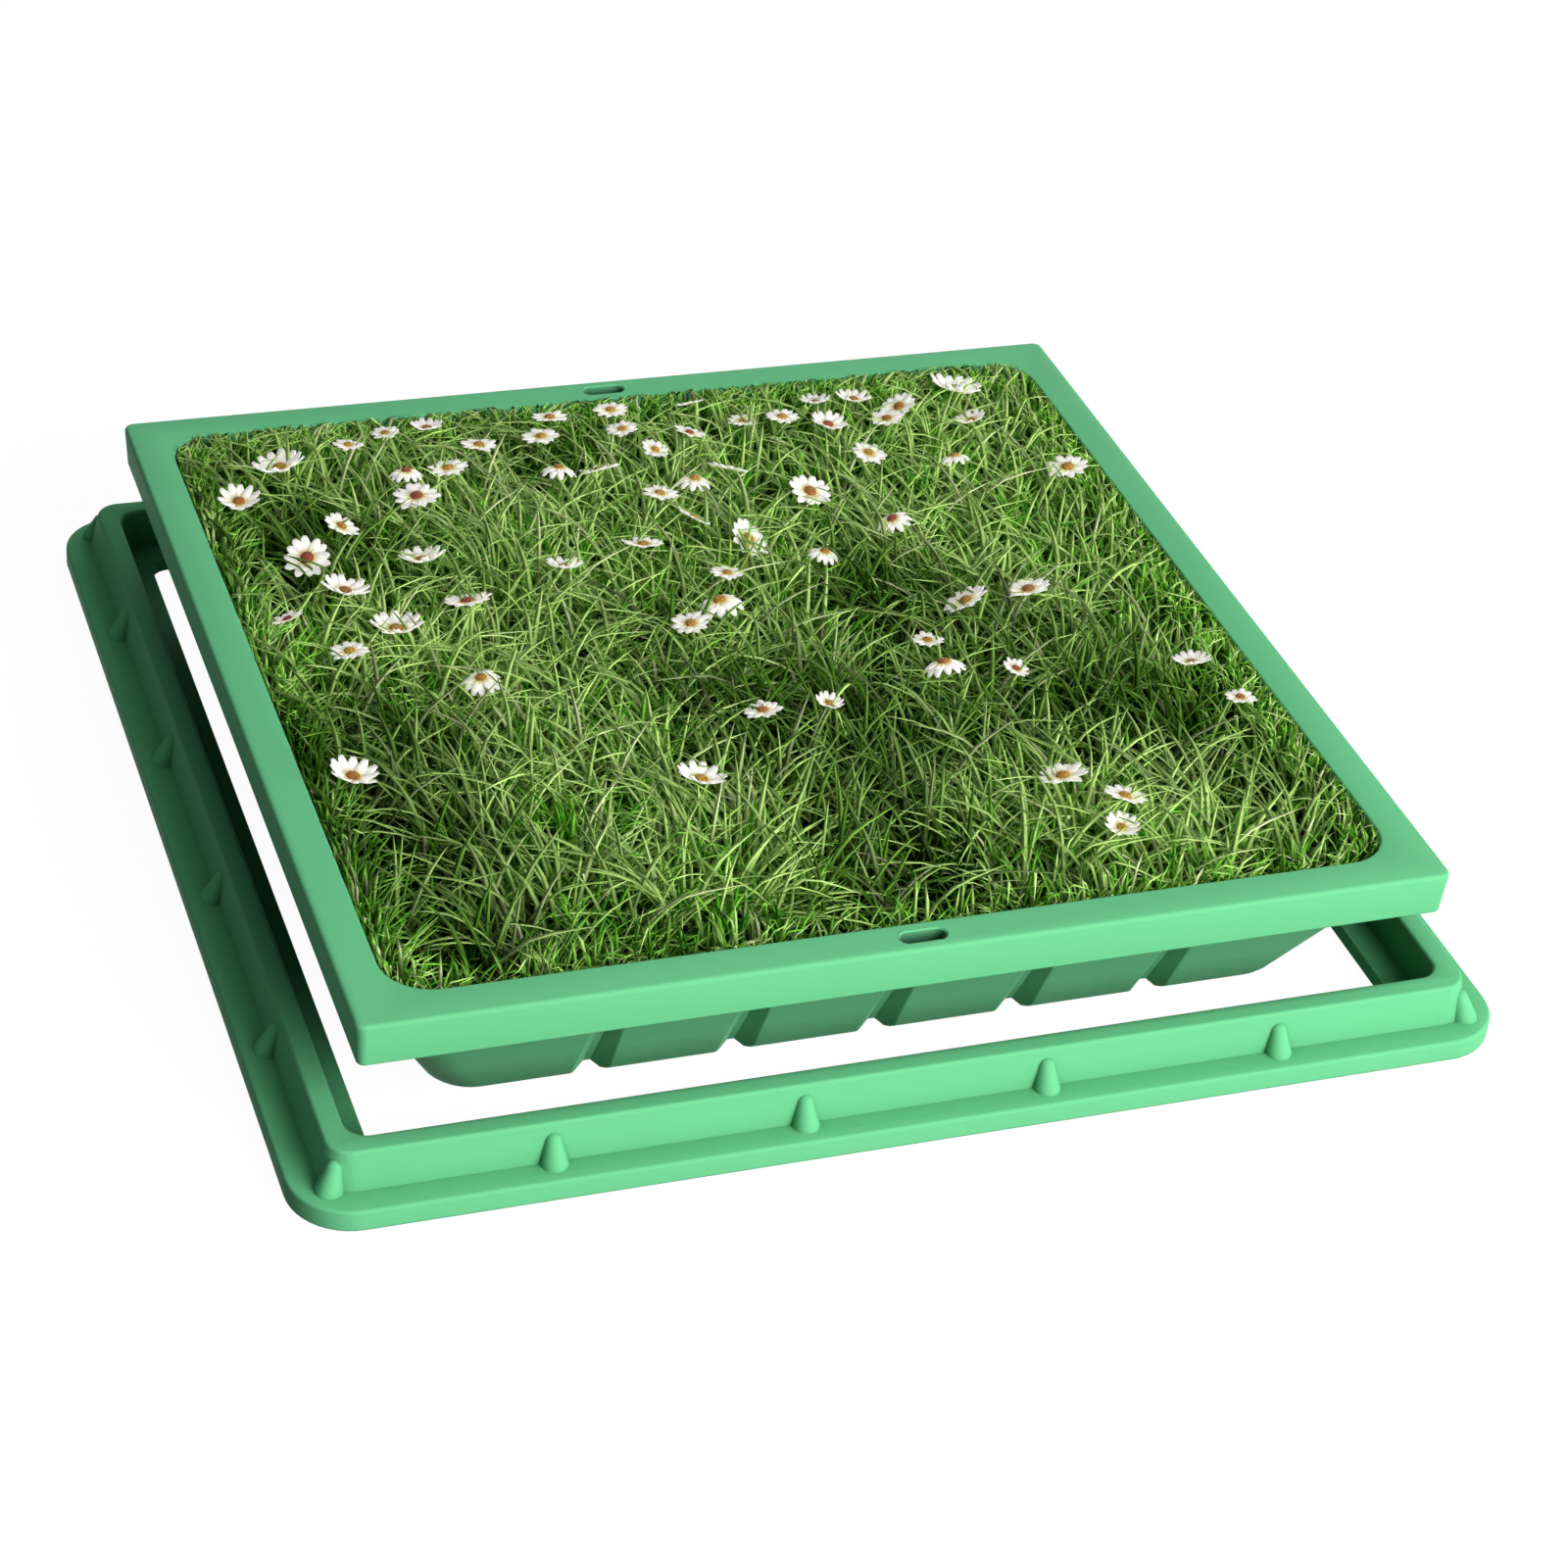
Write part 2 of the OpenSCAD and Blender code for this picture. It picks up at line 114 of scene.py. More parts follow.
class ShaderTree:
    """A node tree with short ways to add nodes and links."""

    def __init__(self, tree: bpy.types.NodeTree) -> None:
        """Keeps the tree of a material, a world or a node group."""
        self.tree = tree

    def add(
        self, kind: str, inputs: dict[str | int, Value] | None = None, **settings: object
    ) -> bpy.types.Node:
        """Adds a node.

        Args:
            kind: The node's type, without the ShaderNode prefix.
            inputs: What its inputs get, by their names or numbers.
            **settings: Attributes of the node, such as operation.

        Returns:
            The new node.
        """
        node = self.tree.nodes.new("ShaderNode" + kind)
        for name, value in settings.items():
            setattr(node, name, value)
        self.feed(node, inputs or {})
        return node

    def feed(self, node: bpy.types.Node, inputs: dict[str | int, Value]) -> None:
        """Gives inputs of a node their links, colours or numbers.

        Args:
            node: The node.
            inputs: What the inputs get, by their names or numbers.
        """
        for name, value in inputs.items():
            if isinstance(value, bpy.types.NodeSocket):
                self.tree.links.new(value, node.inputs[name])
            else:
                node.inputs[name].default_value = plain(value)

    def place(self) -> bpy.types.NodeSocket:
        """Returns where a point of the piece lies, in metres."""
        return self.add("TexCoord").outputs["Object"]

    def channels(self, attribute: str) -> tuple[bpy.types.NodeSocket, ...]:
        """Returns the red, green and blue of a colour attribute."""
        colour = self.add("Attribute", attribute_name=attribute).outputs["Color"]
        return tuple(self.add("SeparateColor", {"Color": colour}).outputs)

    def noise(
        self, vector: bpy.types.NodeSocket, scale: Value, detail: float = 3.0
    ) -> bpy.types.NodeSocket:
        """Adds a noise texture.

        Args:
            vector: Where it is sampled.
            scale: Lumps to a metre.
            detail: How many finer layers it has.

        Returns:
            The noise's value, from 0 to 1.
        """
        inputs = {"Vector": vector, "Scale": scale, "Detail": detail}
        return self.add("TexNoise", inputs).outputs["Fac"]

    def spread(
        self, value: bpy.types.NodeSocket, low: float, high: float, to_low: float, to_high: float
    ) -> bpy.types.NodeSocket:
        """Maps a range of values to another, and holds the ends.

        Args:
            value: What is mapped.
            low: Lowest value that is told apart.
            high: Highest value that is told apart.
            to_low: What the lowest becomes.
            to_high: What the highest becomes.

        Returns:
            The mapped value.
        """
        inputs = {
            "Value": value,
            "From Min": low,
            "From Max": high,
            "To Min": to_low,
            "To Max": to_high,
        }
        return self.add("MapRange", inputs, clamp=True).outputs["Result"]

    def math(
        self, operation: str, first: bpy.types.NodeSocket, second: bpy.types.NodeSocket | float
    ) -> bpy.types.NodeSocket:
        """Joins two values by an arithmetic operation.

        Args:
            operation: Such as MULTIPLY or ADD.
            first: The first value.
            second: The second value, or a fixed number.

        Returns:
            The result.
        """
        return self.add("Math", {0: first, 1: second}, operation=operation).outputs["Value"]

    def blend(
        self, share: bpy.types.NodeSocket, first: Value, second: Value
    ) -> bpy.types.NodeSocket:
        """Mixes two colours.

        Args:
            share: How much of the second colour shows.
            first: A colour or an output.
            second: A colour or an output.

        Returns:
            The mixed colour.
        """
        inputs = {"Factor": share, 6: first, 7: second}
        return self.add("Mix", inputs, data_type="RGBA").outputs[2]

    def relief(
        self,
        shader: bpy.types.Node,
        height: bpy.types.NodeSocket,
        distance: float,
        strength: float = 1.0,
    ) -> None:
        """Gives a shader the normals of a fine relief.

        Args:
            shader: The shader.
            height: The relief's height.
            distance: How many metres a height of one is.
            strength: How much of it shows.
        """
        inputs = {"Height": height, "Distance": distance, "Strength": strength}
        self.feed(shader, {"Normal": self.add("Bump", inputs).outputs["Normal"]})


def new_material(name: str) -> tuple[bpy.types.Material, ShaderTree, bpy.types.Node]:
    """Makes a material with a Principled shader.

    Args:
        name: The material's name.

    Returns:
        The material, its tree and its shader node.
    """
    material = bpy.data.materials.new(name)
    material.use_nodes = True
    shader = material.node_tree.nodes["Principled BSDF"]
    return material, ShaderTree(material.node_tree), shader


class Texture:
    """A node group that several materials share, with named inputs and outputs.

    A texture names its inputs with their defaults and its outputs, of which those in
    COLOURS are colours and the others are values.
    """

    NAME = ""
    INPUTS: dict[str, Colour | float] = {}
    OUTPUTS: tuple[str, ...] = ()
    COLOURS = ("Colour", "Shade")

    @classmethod
    def group(cls) -> bpy.types.NodeTree:
        """Returns the node group, which is built the first time."""
        found = bpy.data.node_groups.get(cls.NAME)
        return found if found else cls._build()

    @classmethod
    def _build(cls) -> bpy.types.NodeTree:
        """Returns a new group with its sockets and nodes."""
        group = bpy.data.node_groups.new(cls.NAME, "ShaderNodeTree")
        for names, side in ((cls.INPUTS, "INPUT"), (cls.OUTPUTS, "OUTPUT")):
            for name in names:
                kind = "NodeSocketColor" if name in cls.COLOURS else "NodeSocketFloat"
                socket = group.interface.new_socket(name, in_out=side, socket_type=kind)
                if side == "INPUT":
                    socket.default_value = plain(cls.INPUTS[name])
        tree = ShaderTree(group)
        given = group.nodes.new("NodeGroupInput").outputs
        tree.feed(group.nodes.new("NodeGroupOutput"), cls._drawn(tree, given))
        return group

    @classmethod
    def _drawn(
        cls, tree: ShaderTree, given: bpy.types.NodeOutputs
    ) -> dict[str, bpy.types.NodeSocket]:
        """Adds the nodes that make the texture.

        Args:
            tree: The group's tree.
            given: What the material gives to the group.

        Returns:
            What the group puts out, by its name.
        """
        raise NotImplementedError


class MouldTexture(Texture):
    """A moulded skin: fine orange peel, slow sink marks and soft staining."""

    NAME = "mould_texture"
    INPUTS = {"Colour": (0.2, 0.7, 0.3), "Shade": (0.1, 0.5, 0.2), "Grain Scale": 900.0}
    OUTPUTS = ("Colour", "Roughness", "Height")
    # Clouds, flecks and sink marks to a metre, and a sink mark's height against the grain's.
    CLOUDS = 7.0
    FLECKS = 160.0
    SINKS = 24.0
    SINK_HEIGHT = 2.5

    @classmethod
    def _drawn(
        cls, tree: ShaderTree, given: bpy.types.NodeOutputs
    ) -> dict[str, bpy.types.NodeSocket]:
        """Returns the stained colour, the roughness and the height of the skin."""
        place = tree.place()
        cloud = tree.spread(tree.noise(place, cls.CLOUDS, 2.0), 0.35, 0.7, 0.0, 0.22)
        fleck = tree.noise(place, cls.FLECKS, 4.0)
        share = tree.math("ADD", cloud, tree.spread(fleck, 0.5, 0.75, 0.0, 0.10))
        grain = tree.noise(place, given["Grain Scale"], 2.0)
        sink = tree.math("MULTIPLY", tree.noise(place, cls.SINKS, 1.0), cls.SINK_HEIGHT)
        return {
            "Colour": tree.blend(share, given["Colour"], given["Shade"]),
            "Roughness": tree.spread(fleck, 0.3, 0.7, 0.40, 0.52),
            "Height": tree.math("ADD", grain, sink),
        }


class LumpTexture(Texture):
    """Small round lumps, side by side."""

    NAME = "lump_texture"
    INPUTS = {"Scale": 1000.0}
    OUTPUTS = ("Lump",)
    HEIGHT = 0.4 * MM
    ROUGHNESS = 0.65

    @classmethod
    def _drawn(
        cls, tree: ShaderTree, given: bpy.types.NodeOutputs
    ) -> dict[str, bpy.types.NodeSocket]:
        """Returns the lumps, from 0 in the pits to 1 on top."""
        cells = tree.add("TexVoronoi", {"Vector": tree.place(), "Scale": given["Scale"]})
        return {"Lump": tree.spread(cells.outputs["Distance"], 0.1, 0.8, 1.0, 0.0)}

    @classmethod
    def dress(cls, tree: ShaderTree, shader: bpy.types.Node, scale: float) -> bpy.types.NodeSocket:
        """Gives a shader a rough skin of lumps.

        Args:
            tree: The material's tree.
            shader: Its shader.
            scale: Lumps to a metre.

        Returns:
            The lumps, from 0 in the pits to 1 on top.
        """
        texture = tree.add("Group", {"Scale": scale}, node_tree=cls.group())
        tree.relief(shader, texture.outputs["Lump"], cls.HEIGHT)
        tree.feed(shader, {"Roughness": cls.ROUGHNESS})
        return texture.outputs["Lump"]


@dataclass(frozen=True)
class MouldedFinish:
    """Finish of a moulded resin surface, with painted shade that darkens it in its hollows.

    Attributes:
        name: Name of the material.
        colour: Main colour, linear.
        shade: Darker colour of the cloudy patches, linear.
        hollow: Colour of the painted shade deep in the hollows, linear.
        depth: How much of that colour shows in the deepest hollow.
        steepness: How much faster it comes in deep hollows than in shallow ones.
        reach: Distance within which other surfaces make a hollow.
        relief: Height of the grain in metres.
        grain: How much of the grain shows.
    """

    name: str = "moulded_green"
    colour: Colour = srgb(115, 210, 150)
    shade: Colour = srgb(105, 199, 139)
    hollow: Colour = srgb(34, 44, 38)
    depth: float = 0.95
    steepness: float = 1.35
    reach: float = 70 * MM
    relief: float = 0.06 * MM
    grain: float = 0.35

    def material(self) -> bpy.types.Material:
        """Returns the material."""
        material, tree, shader = new_material(self.name)
        given = {"Colour": self.colour, "Shade": self.shade}
        texture = tree.add("Group", given, node_tree=MouldTexture.group()).outputs
        tree.relief(shader, texture["Height"], self.relief, self.grain)
        # Painted shade: ambient occlusion darkens the colour in the hollows, under the rim and near
        # other surfaces.
        free = tree.add("AmbientOcclusion", {"Distance": self.reach}, samples=8).outputs["AO"]
        hidden = tree.spread(free, 0.0, 1.0, 1.0, 0.0)
        painted_shade = tree.math("MULTIPLY", tree.math("POWER", hidden, self.steepness), self.depth)
        inputs = {
            "Base Color": tree.blend(painted_shade, texture["Colour"], self.hollow),
            "Roughness": texture["Roughness"],
            "Specular IOR Level": MATT,
        }
        tree.feed(shader, inputs)
        return material


@dataclass(frozen=True)
class SoilFinish:
    """Finish of dark moist soil between the blades.

    Attributes:
        name: Name of the material.
        wet: Colour of wet soil, linear.
        dry: Colour of the dry crumbs, linear.
        crumbs: Crumbs to a metre.
        patches: Damp patches to a metre.
        relief: Height of the crumbs.
    """

    name: str = "soil"
    wet: Colour = srgb(22, 17, 12)
    dry: Colour = srgb(64, 48, 32)
    crumbs: float = 420.0
    patches: float = 30.0
    relief: float = 1.5 * MM

    def material(self) -> bpy.types.Material:
        """Returns the material."""
        material, tree, shader = new_material(self.name)
        place = tree.place()
        crumbs = tree.noise(place, self.crumbs, 6.0)
        damp = tree.noise(place, self.patches)
        share = tree.math("MULTIPLY", tree.spread(crumbs, 0.4, 0.7, 0.0, 1.0), damp)
        inputs = {
            "Base Color": tree.blend(share, self.wet, self.dry),
            "Roughness": tree.spread(damp, 0.3, 0.7, 0.7, 0.95),
        }
        tree.feed(shader, inputs)
        tree.relief(shader, crumbs, self.relief)
        return material


@dataclass(frozen=True)
class BladeFinish:
    """Finish of the grass, read from each blade's own attribute.

    The attribute's red runs from the blade's foot to its tip and green is the blade's tone, both
    lowered where the grass has painted shade, and blue is how dry it is.

    Attributes:
        name: Name of the material.
        attribute: Name of the colour attribute.
        foot: Painted shade: near-black colour deep down between the blades, linear.
        dark: Colour of a blade of tone 0, linear.
        middle: Colour of a blade of the middle tone, linear.
        light: Colour of a blade of tone 1, linear.
        straw: Colour of a dry blade, linear.
        middle_tone: The tone of the middle colour.
        rise: Where along the blade the foot's painted shade ends, and where it is gone.
    """

    name: str = "turf"
    attribute: str = "blade"
    foot: Colour = srgb(2, 26, 0)
    dark: Colour = srgb(34, 138, 12)
    middle: Colour = srgb(152, 230, 76)
    light: Colour = srgb(210, 255, 142)
    straw: Colour = srgb(252, 255, 204)
    middle_tone: float = 0.55
    rise: tuple[float, float] = (0.10, 0.74)

    def material(self) -> bpy.types.Material:
        """Returns the material."""
        material, tree, shader = new_material(self.name)
        along, tone, dry = tree.channels(self.attribute)
        fresh = tree.spread(tone, 0.0, self.middle_tone, 0.0, 1.0)
        pale = tree.spread(tone, self.middle_tone, 1.0, 0.0, 1.0)
        colour = tree.blend(pale, tree.blend(fresh, self.dark, self.middle), self.light)
        colour = tree.blend(dry, colour, self.straw)
        # Painted shade: the foot of each blade darkens to near black.
        inputs = {
            "Base Color": tree.blend(tree.spread(along, *self.rise, 0.0, 1.0), self.foot, colour),
            "Roughness": tree.spread(tone, 0.0, 1.0, 0.70, 0.55),
            "Specular IOR Level": MATT,
        }
        tree.feed(shader, inputs)
        return material


@dataclass(frozen=True)
class PetalFinish:
    """Finish of the white petals: fine veins along them, a warm throat and a painted glow.

    Attributes:
        name: Name of the material.
        attribute: Name of the colour attribute: red along the petal, green across it.
        white: Colour of the petals, linear.
        throat: Colour where they meet the centre, linear.
        glow: Strength of the painted glow that lightens the petals, as a share of full light.
        veins: Scale of the veins across a petal.
        relief: Height of the veins.
        roughness: How rough the petals are.
    """

    name: str = "petal"
    attribute: str = "petal"
    white: Colour = srgb(255, 253, 246)
    throat: Colour = srgb(226, 214, 150)
    glow: float = 0.36
    veins: float = 1.6
    relief: float = 0.25 * MM
    roughness: float = 0.6

    def material(self) -> bpy.types.Material:
        """Returns the material."""
        material, tree, shader = new_material(self.name)
        along, across, _ = tree.channels(self.attribute)
        colour = tree.blend(tree.spread(along, 0.15, 0.45, 1.0, 0.0), self.white, self.throat)
        place = tree.add("CombineXYZ", {"X": across}).outputs["Vector"]
        waves = {"Scale": self.veins, "Vector": place}
        vein = tree.add("TexWave", waves, wave_type="BANDS", bands_direction="X")
        tree.relief(shader, vein.outputs["Fac"], self.relief)
        # Painted light: the petals glow with their own colour, so their shaded parts stay white.
        inputs = {
            "Base Color": colour,
            "Emission Color": colour,
            "Emission Strength": self.glow,
            "Roughness": self.roughness,
        }
        tree.feed(shader, inputs)
        return material


@dataclass(frozen=True)
class StalkFinish:
    """Finish of the flowers' green cups and stalks, lighter on their small lumps.

    Attributes:
        name: Name of the material.
        low: Colour of the pits, linear.
        high: Colour of the lumps, linear.
        scale: Lumps to a metre.
    """

    name: str = "daisy_stalk"
    low: Colour = srgb(66, 104, 36)
    high: Colour = srgb(116, 158, 66)
    scale: float = 700.0

    def material(self) -> bpy.types.Material:
        """Returns the material."""
        material, tree, shader = new_material(self.name)
        lump = LumpTexture.dress(tree, shader, self.scale)
        tree.feed(shader, {"Base Color": tree.blend(lump, self.low, self.high)})
        return material


@dataclass(frozen=True)
class EyeFinish:
    """Finish of the flowers' centres: each from yellow to red-brown, and darker in its pits.

    Attributes:
        name: Name of the material.
        attribute: Name of the colour attribute, whose red is the flower's age.
        young: Colour of a young centre, linear.
        old: Colour of an old one, linear.
        pit: Colour of the pits, linear.
        scale: Lumps to a metre.
    """

    name: str = "daisy_eye"
    attribute: str = "daisy_age"
    young: Colour = srgb(240, 196, 52)
    old: Colour = srgb(176, 74, 44)
    pit: Colour = srgb(112, 50, 16)
    scale: float = 1300.0

    def material(self) -> bpy.types.Material:
        """Returns the material."""
        material, tree, shader = new_material(self.name)
        lump = LumpTexture.dress(tree, shader, self.scale)
        ripe = tree.blend(tree.channels(self.attribute)[0], self.young, self.old)
        tree.feed(shader, {"Base Color": tree.blend(lump, self.pit, ripe)})
        return material


def merged(solid: bpy.types.Object) -> bmesh.types.BMesh:
    """Copies a solid's form and joins its loose triangles at their corners.

    Args:
        solid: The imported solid, which stays as it is.

    Returns:
        The copy.
    """
    form = bmesh.new()
    form.from_mesh(solid.data)
    bmesh.ops.remove_doubles(form, verts=form.verts, dist=MERGE)
    return form


def baked(form: bmesh.types.BMesh, name: str, smooth: bool = False) -> bpy.types.Mesh:
    """Turns a form into a mesh.

    Args:
        form: The form, which is freed.
        name: Name of the mesh.
        smooth: Whether all its faces become smooth ones.

    Returns:
        The mesh.
    """
    if smooth:
        for face in form.faces:
            face.smooth = True
    mesh = bpy.data.meshes.new(name)
    form.to_mesh(mesh)
    form.free()
    return mesh


def finish_piece(
    name: str, mesh: bpy.types.Mesh, material: bpy.types.Material, slot: str
) -> bpy.types.Object:
    """Puts a mesh in the scene as a piece of the cover.

    Args:
        name: The piece's name.
        mesh: Its mesh, in place.
        material: Its material.
        slot: Not used.

    Returns:
        The new object, which rides on the root body.
    """
    mesh.materials.append(material)
    piece = bpy.data.objects.new(name, mesh)
    bpy.context.scene.collection.objects.link(piece)
    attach(piece, "root")
    mesh.calc_loop_triangles()
    LOG.info("%s: %d triangles", name, len(mesh.loop_triangles))
    return piece


@dataclass
class Moulding:
    """One of the two mouldings: a merged copy of its solid, with its edges softened.

    Attributes:
        node: The solid that it dresses.
        finish: Its surface.
        edge: Width of the rounding on the edges that the mould leaves sharp.
        crease: Angle from which an edge counts as sharp.
        flat: Angle up to which neighbouring triangles are parts of one face.
    """

    node: Node
    finish: MouldedFinish
    edge: float = 0.9 * MM
    crease: float = math.radians(34)
    flat: float = math.radians(0.4)

    def build(self, solid: bpy.types.Object) -> bpy.types.Object:
        """Makes the piece that stands for the solid.

        Args:
            solid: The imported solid.

        Returns:
            The piece.
        """
        form = merged(solid)
        self._join_faces(form)
        name = self.node.value + "_moulding"
        mesh = baked(form, name, smooth=True)
        piece = finish_piece(name, mesh, self.finish.material(), self.finish.name)
        self._round_edges(piece)
        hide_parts(self.node.value)
        return piece

    def _join_faces(self, form: bmesh.types.BMesh) -> None:
        """Joins triangles to whole faces, and marks the edges that are sharp and stand out.

        Args:
            form: The solid's form.
        """
        bmesh.ops.dissolve_limit(
            form,
            angle_limit=self.flat,
            use_dissolve_boundaries=False,
            verts=form.verts,
            edges=form.edges,
        )
        weight = form.edges.layers.float.new("bevel_weight_edge")
        for edge in form.edges:
            sharp = edge.calc_face_angle(math.pi) >= self.crease
            edge.smooth = not sharp
            edge[weight] = 1.0 if sharp and edge.is_convex else 0.0

    def _round_edges(self, piece: bpy.types.Object) -> None:
        """Adds a fine rounding to the sharp edges that stand out.

        Args:
            piece: The moulding, whose marked edges are rounded.
        """
        bevel = piece.modifiers.new("edge", "BEVEL")
        bevel.limit_method = "WEIGHT"
        bevel.width = self.edge
        bevel.segments = 3
        bevel.use_clamp_overlap = False
        bevel.harden_normals = True


@dataclass
class SoilBed:
    """The soil in the basin: a merged copy of its solid with a crumbly crust on top.

    Attributes:
        finish: Its surface.
        cells: Number of squares along each side of the crust.
        border: Width of the strip along the basin's wall that the crust leaves free.
        depth: How far the crust goes down into the solid.
        crumb: Height of the crumbs.
        level: Mean height of the crust, as a share of the crumbs'.
        roughness: How much the crust rises and falls about it, as a share of the crumbs'.
        clods: Coarse crumbs to a metre.
        crumbs: Fine crumbs to a metre.
        fine_share: Height of the fine crumbs against the coarse ones.
    """

    finish: SoilFinish = SoilFinish()
    cells: int = 110
    border: float = 6 * MM
    depth: float = 3 * MM
    crumb: float = 4 * MM
    level: float = 0.35
    roughness: float = 0.5
    clods: float = 90.0
    crumbs: float = 260.0
    fine_share: float = 0.6

    def build(self, solid: bpy.types.Object) -> bpy.types.Object:
        """Makes the piece that stands for the solid.

        Args:
            solid: The packed soil.

        Returns:
            The piece.
        """
        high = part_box(Node.SOIL.value)[1]
        form = merged(solid)
        self._lay_crust(form, high.x - self.border, high.z)
        bmesh.ops.recalc_face_normals(form, faces=form.faces)
        name = "soil_bed"
        piece = finish_piece(name, baked(form, name), self.finish.material(), self.finish.name)
        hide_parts(Node.SOIL.value)
        return piece

    def _lay_crust(self, form: bmesh.types.BMesh, half: float, top: float) -> None:
        """Lays a closed crumbly slab on the soil.

        Args:
            form: Where it is added.
            half: Half its width.
            top: Height of the soil.
        """
        count = self.cells
        crust = bmesh.ops.create_grid(form, x_segments=count, y_segments=count, size=half)
        rim = {edge for vert in crust["verts"] for edge in vert.link_edges if edge.is_boundary}
        for vert in crust["verts"]:
            fine = self.fine_share * noise.noise(vert.co * self.crumbs)
            rough = self.level + self.roughness * (noise.noise(vert.co * self.clods) + fine)
            vert.co.z = top + (0.0 if vert.is_boundary else self.crumb * rough)
            for face in vert.link_faces:
                face.smooth = True
        sunk = bmesh.ops.extrude_edge_only(form, edges=list(rim))["geom"]
        low = [item for item in sunk if isinstance(item, bmesh.types.BMVert)]
        bmesh.ops.translate(form, vec=Vector((0, 0, -self.depth)), verts=low)
        loop = [item for item in sunk if isinstance(item, bmesh.types.BMEdge) and item.is_boundary]
        bmesh.ops.holes_fill(form, edges=loop, sides=0)


@dataclass(frozen=True)
class Recess:
    """The room that the planting has: the recess of the lid, seen from above.

    Attributes:
        half: Half its width at the rim's top.
        soil: Height of the soil.
        rim: Height of the rim's top.
        corner: Radius of its corners.
        rim_height: Height of the rim's wall, below which the basin starts.
        rim_slope: How far blades stay back from the rim's wall for each metre of depth.
        basin_slope: How far they stay back from the basin's wall for each metre further down.
        verge: Width of the strip along the wall in which the tips stand lower.
        verge_rise: How far the tips at the wall may stand above the rim.
        crown: How much higher than at the wall the tips may stand further in.
        soft: Depth over which long blades are bent down.
    """

    half: float
    soil: float
    rim: float
    corner: float = 27 * MM
    rim_height: float = 26 * MM
    rim_slope: float = 0.17
    basin_slope: float = 0.50
    verge: float = 34 * MM
    verge_rise: float = 1.6 * MM
    crown: float = 5.5 * MM
    soft: float = 12 * MM

    @classmethod
    def measured(cls) -> "Recess":
        """Returns the recess, worked out from the solids of the lid and the soil."""
        lid_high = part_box(Node.LID.value)[1]
        soil_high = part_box(Node.SOIL.value)[1]
        return cls(lid_high.x - RIM_WIDTH, soil_high.z, lid_high.z)

    def hold(self, points: np.ndarray, margin: float) -> np.ndarray:
        """Draws points into the recess, as its wall and the mower would.

        Args:
            points: One row of x, y and z for each point, in metres.
            margin: How far the points stay from the recess's wall at the rim.

        Returns:
            The points, moved where they have to be.
        """
        depth = np.clip(self.rim - points[:, 2], 0, None)
        half = self.half - margin - self.rim_slope * np.clip(depth, 0, self.rim_height)
        half = half - self.basin_slope * np.clip(depth - self.rim_height, 0, None)
        side = self._in_corners(np.abs(points[:, :2]), half - self.corner)
        side = np.minimum(side, half[:, None])
        moved = points.copy()
        moved[:, :2] = np.sign(points[:, :2]) * side
        inside = np.clip((self.half - side.max(axis=1)) / self.verge, 0, 1)
        top = self.rim + self.verge_rise + self.crown * inside
        rise = moved[:, 2] - (top - self.soft)
        bent = top - self.soft + self.soft * np.tanh(rise / self.soft)
        moved[:, 2] = np.where(rise > 0, bent, moved[:, 2])
        return moved

    def _in_corners(self, side: np.ndarray, reach: np.ndarray) -> np.ndarray:
        """Draws points in past the round corners.

        Args:
            side: Distance of each point from the middle, to the side and to the back.
            reach: Distance of the corners' centres from the middle, at each point's height.

        Returns:
            The distances after the move.
        """
        over = side - reach[:, None]
        in_corner = (over > 0).all(axis=1)
        length = np.hypot(over[:, 0], over[:, 1])
        outside = in_corner & (length > self.corner)
        pull = np.where(outside, self.corner / np.maximum(length, 1e-9), 1)
        return np.where(in_corner[:, None], reach[:, None] + over * pull[:, None], side)


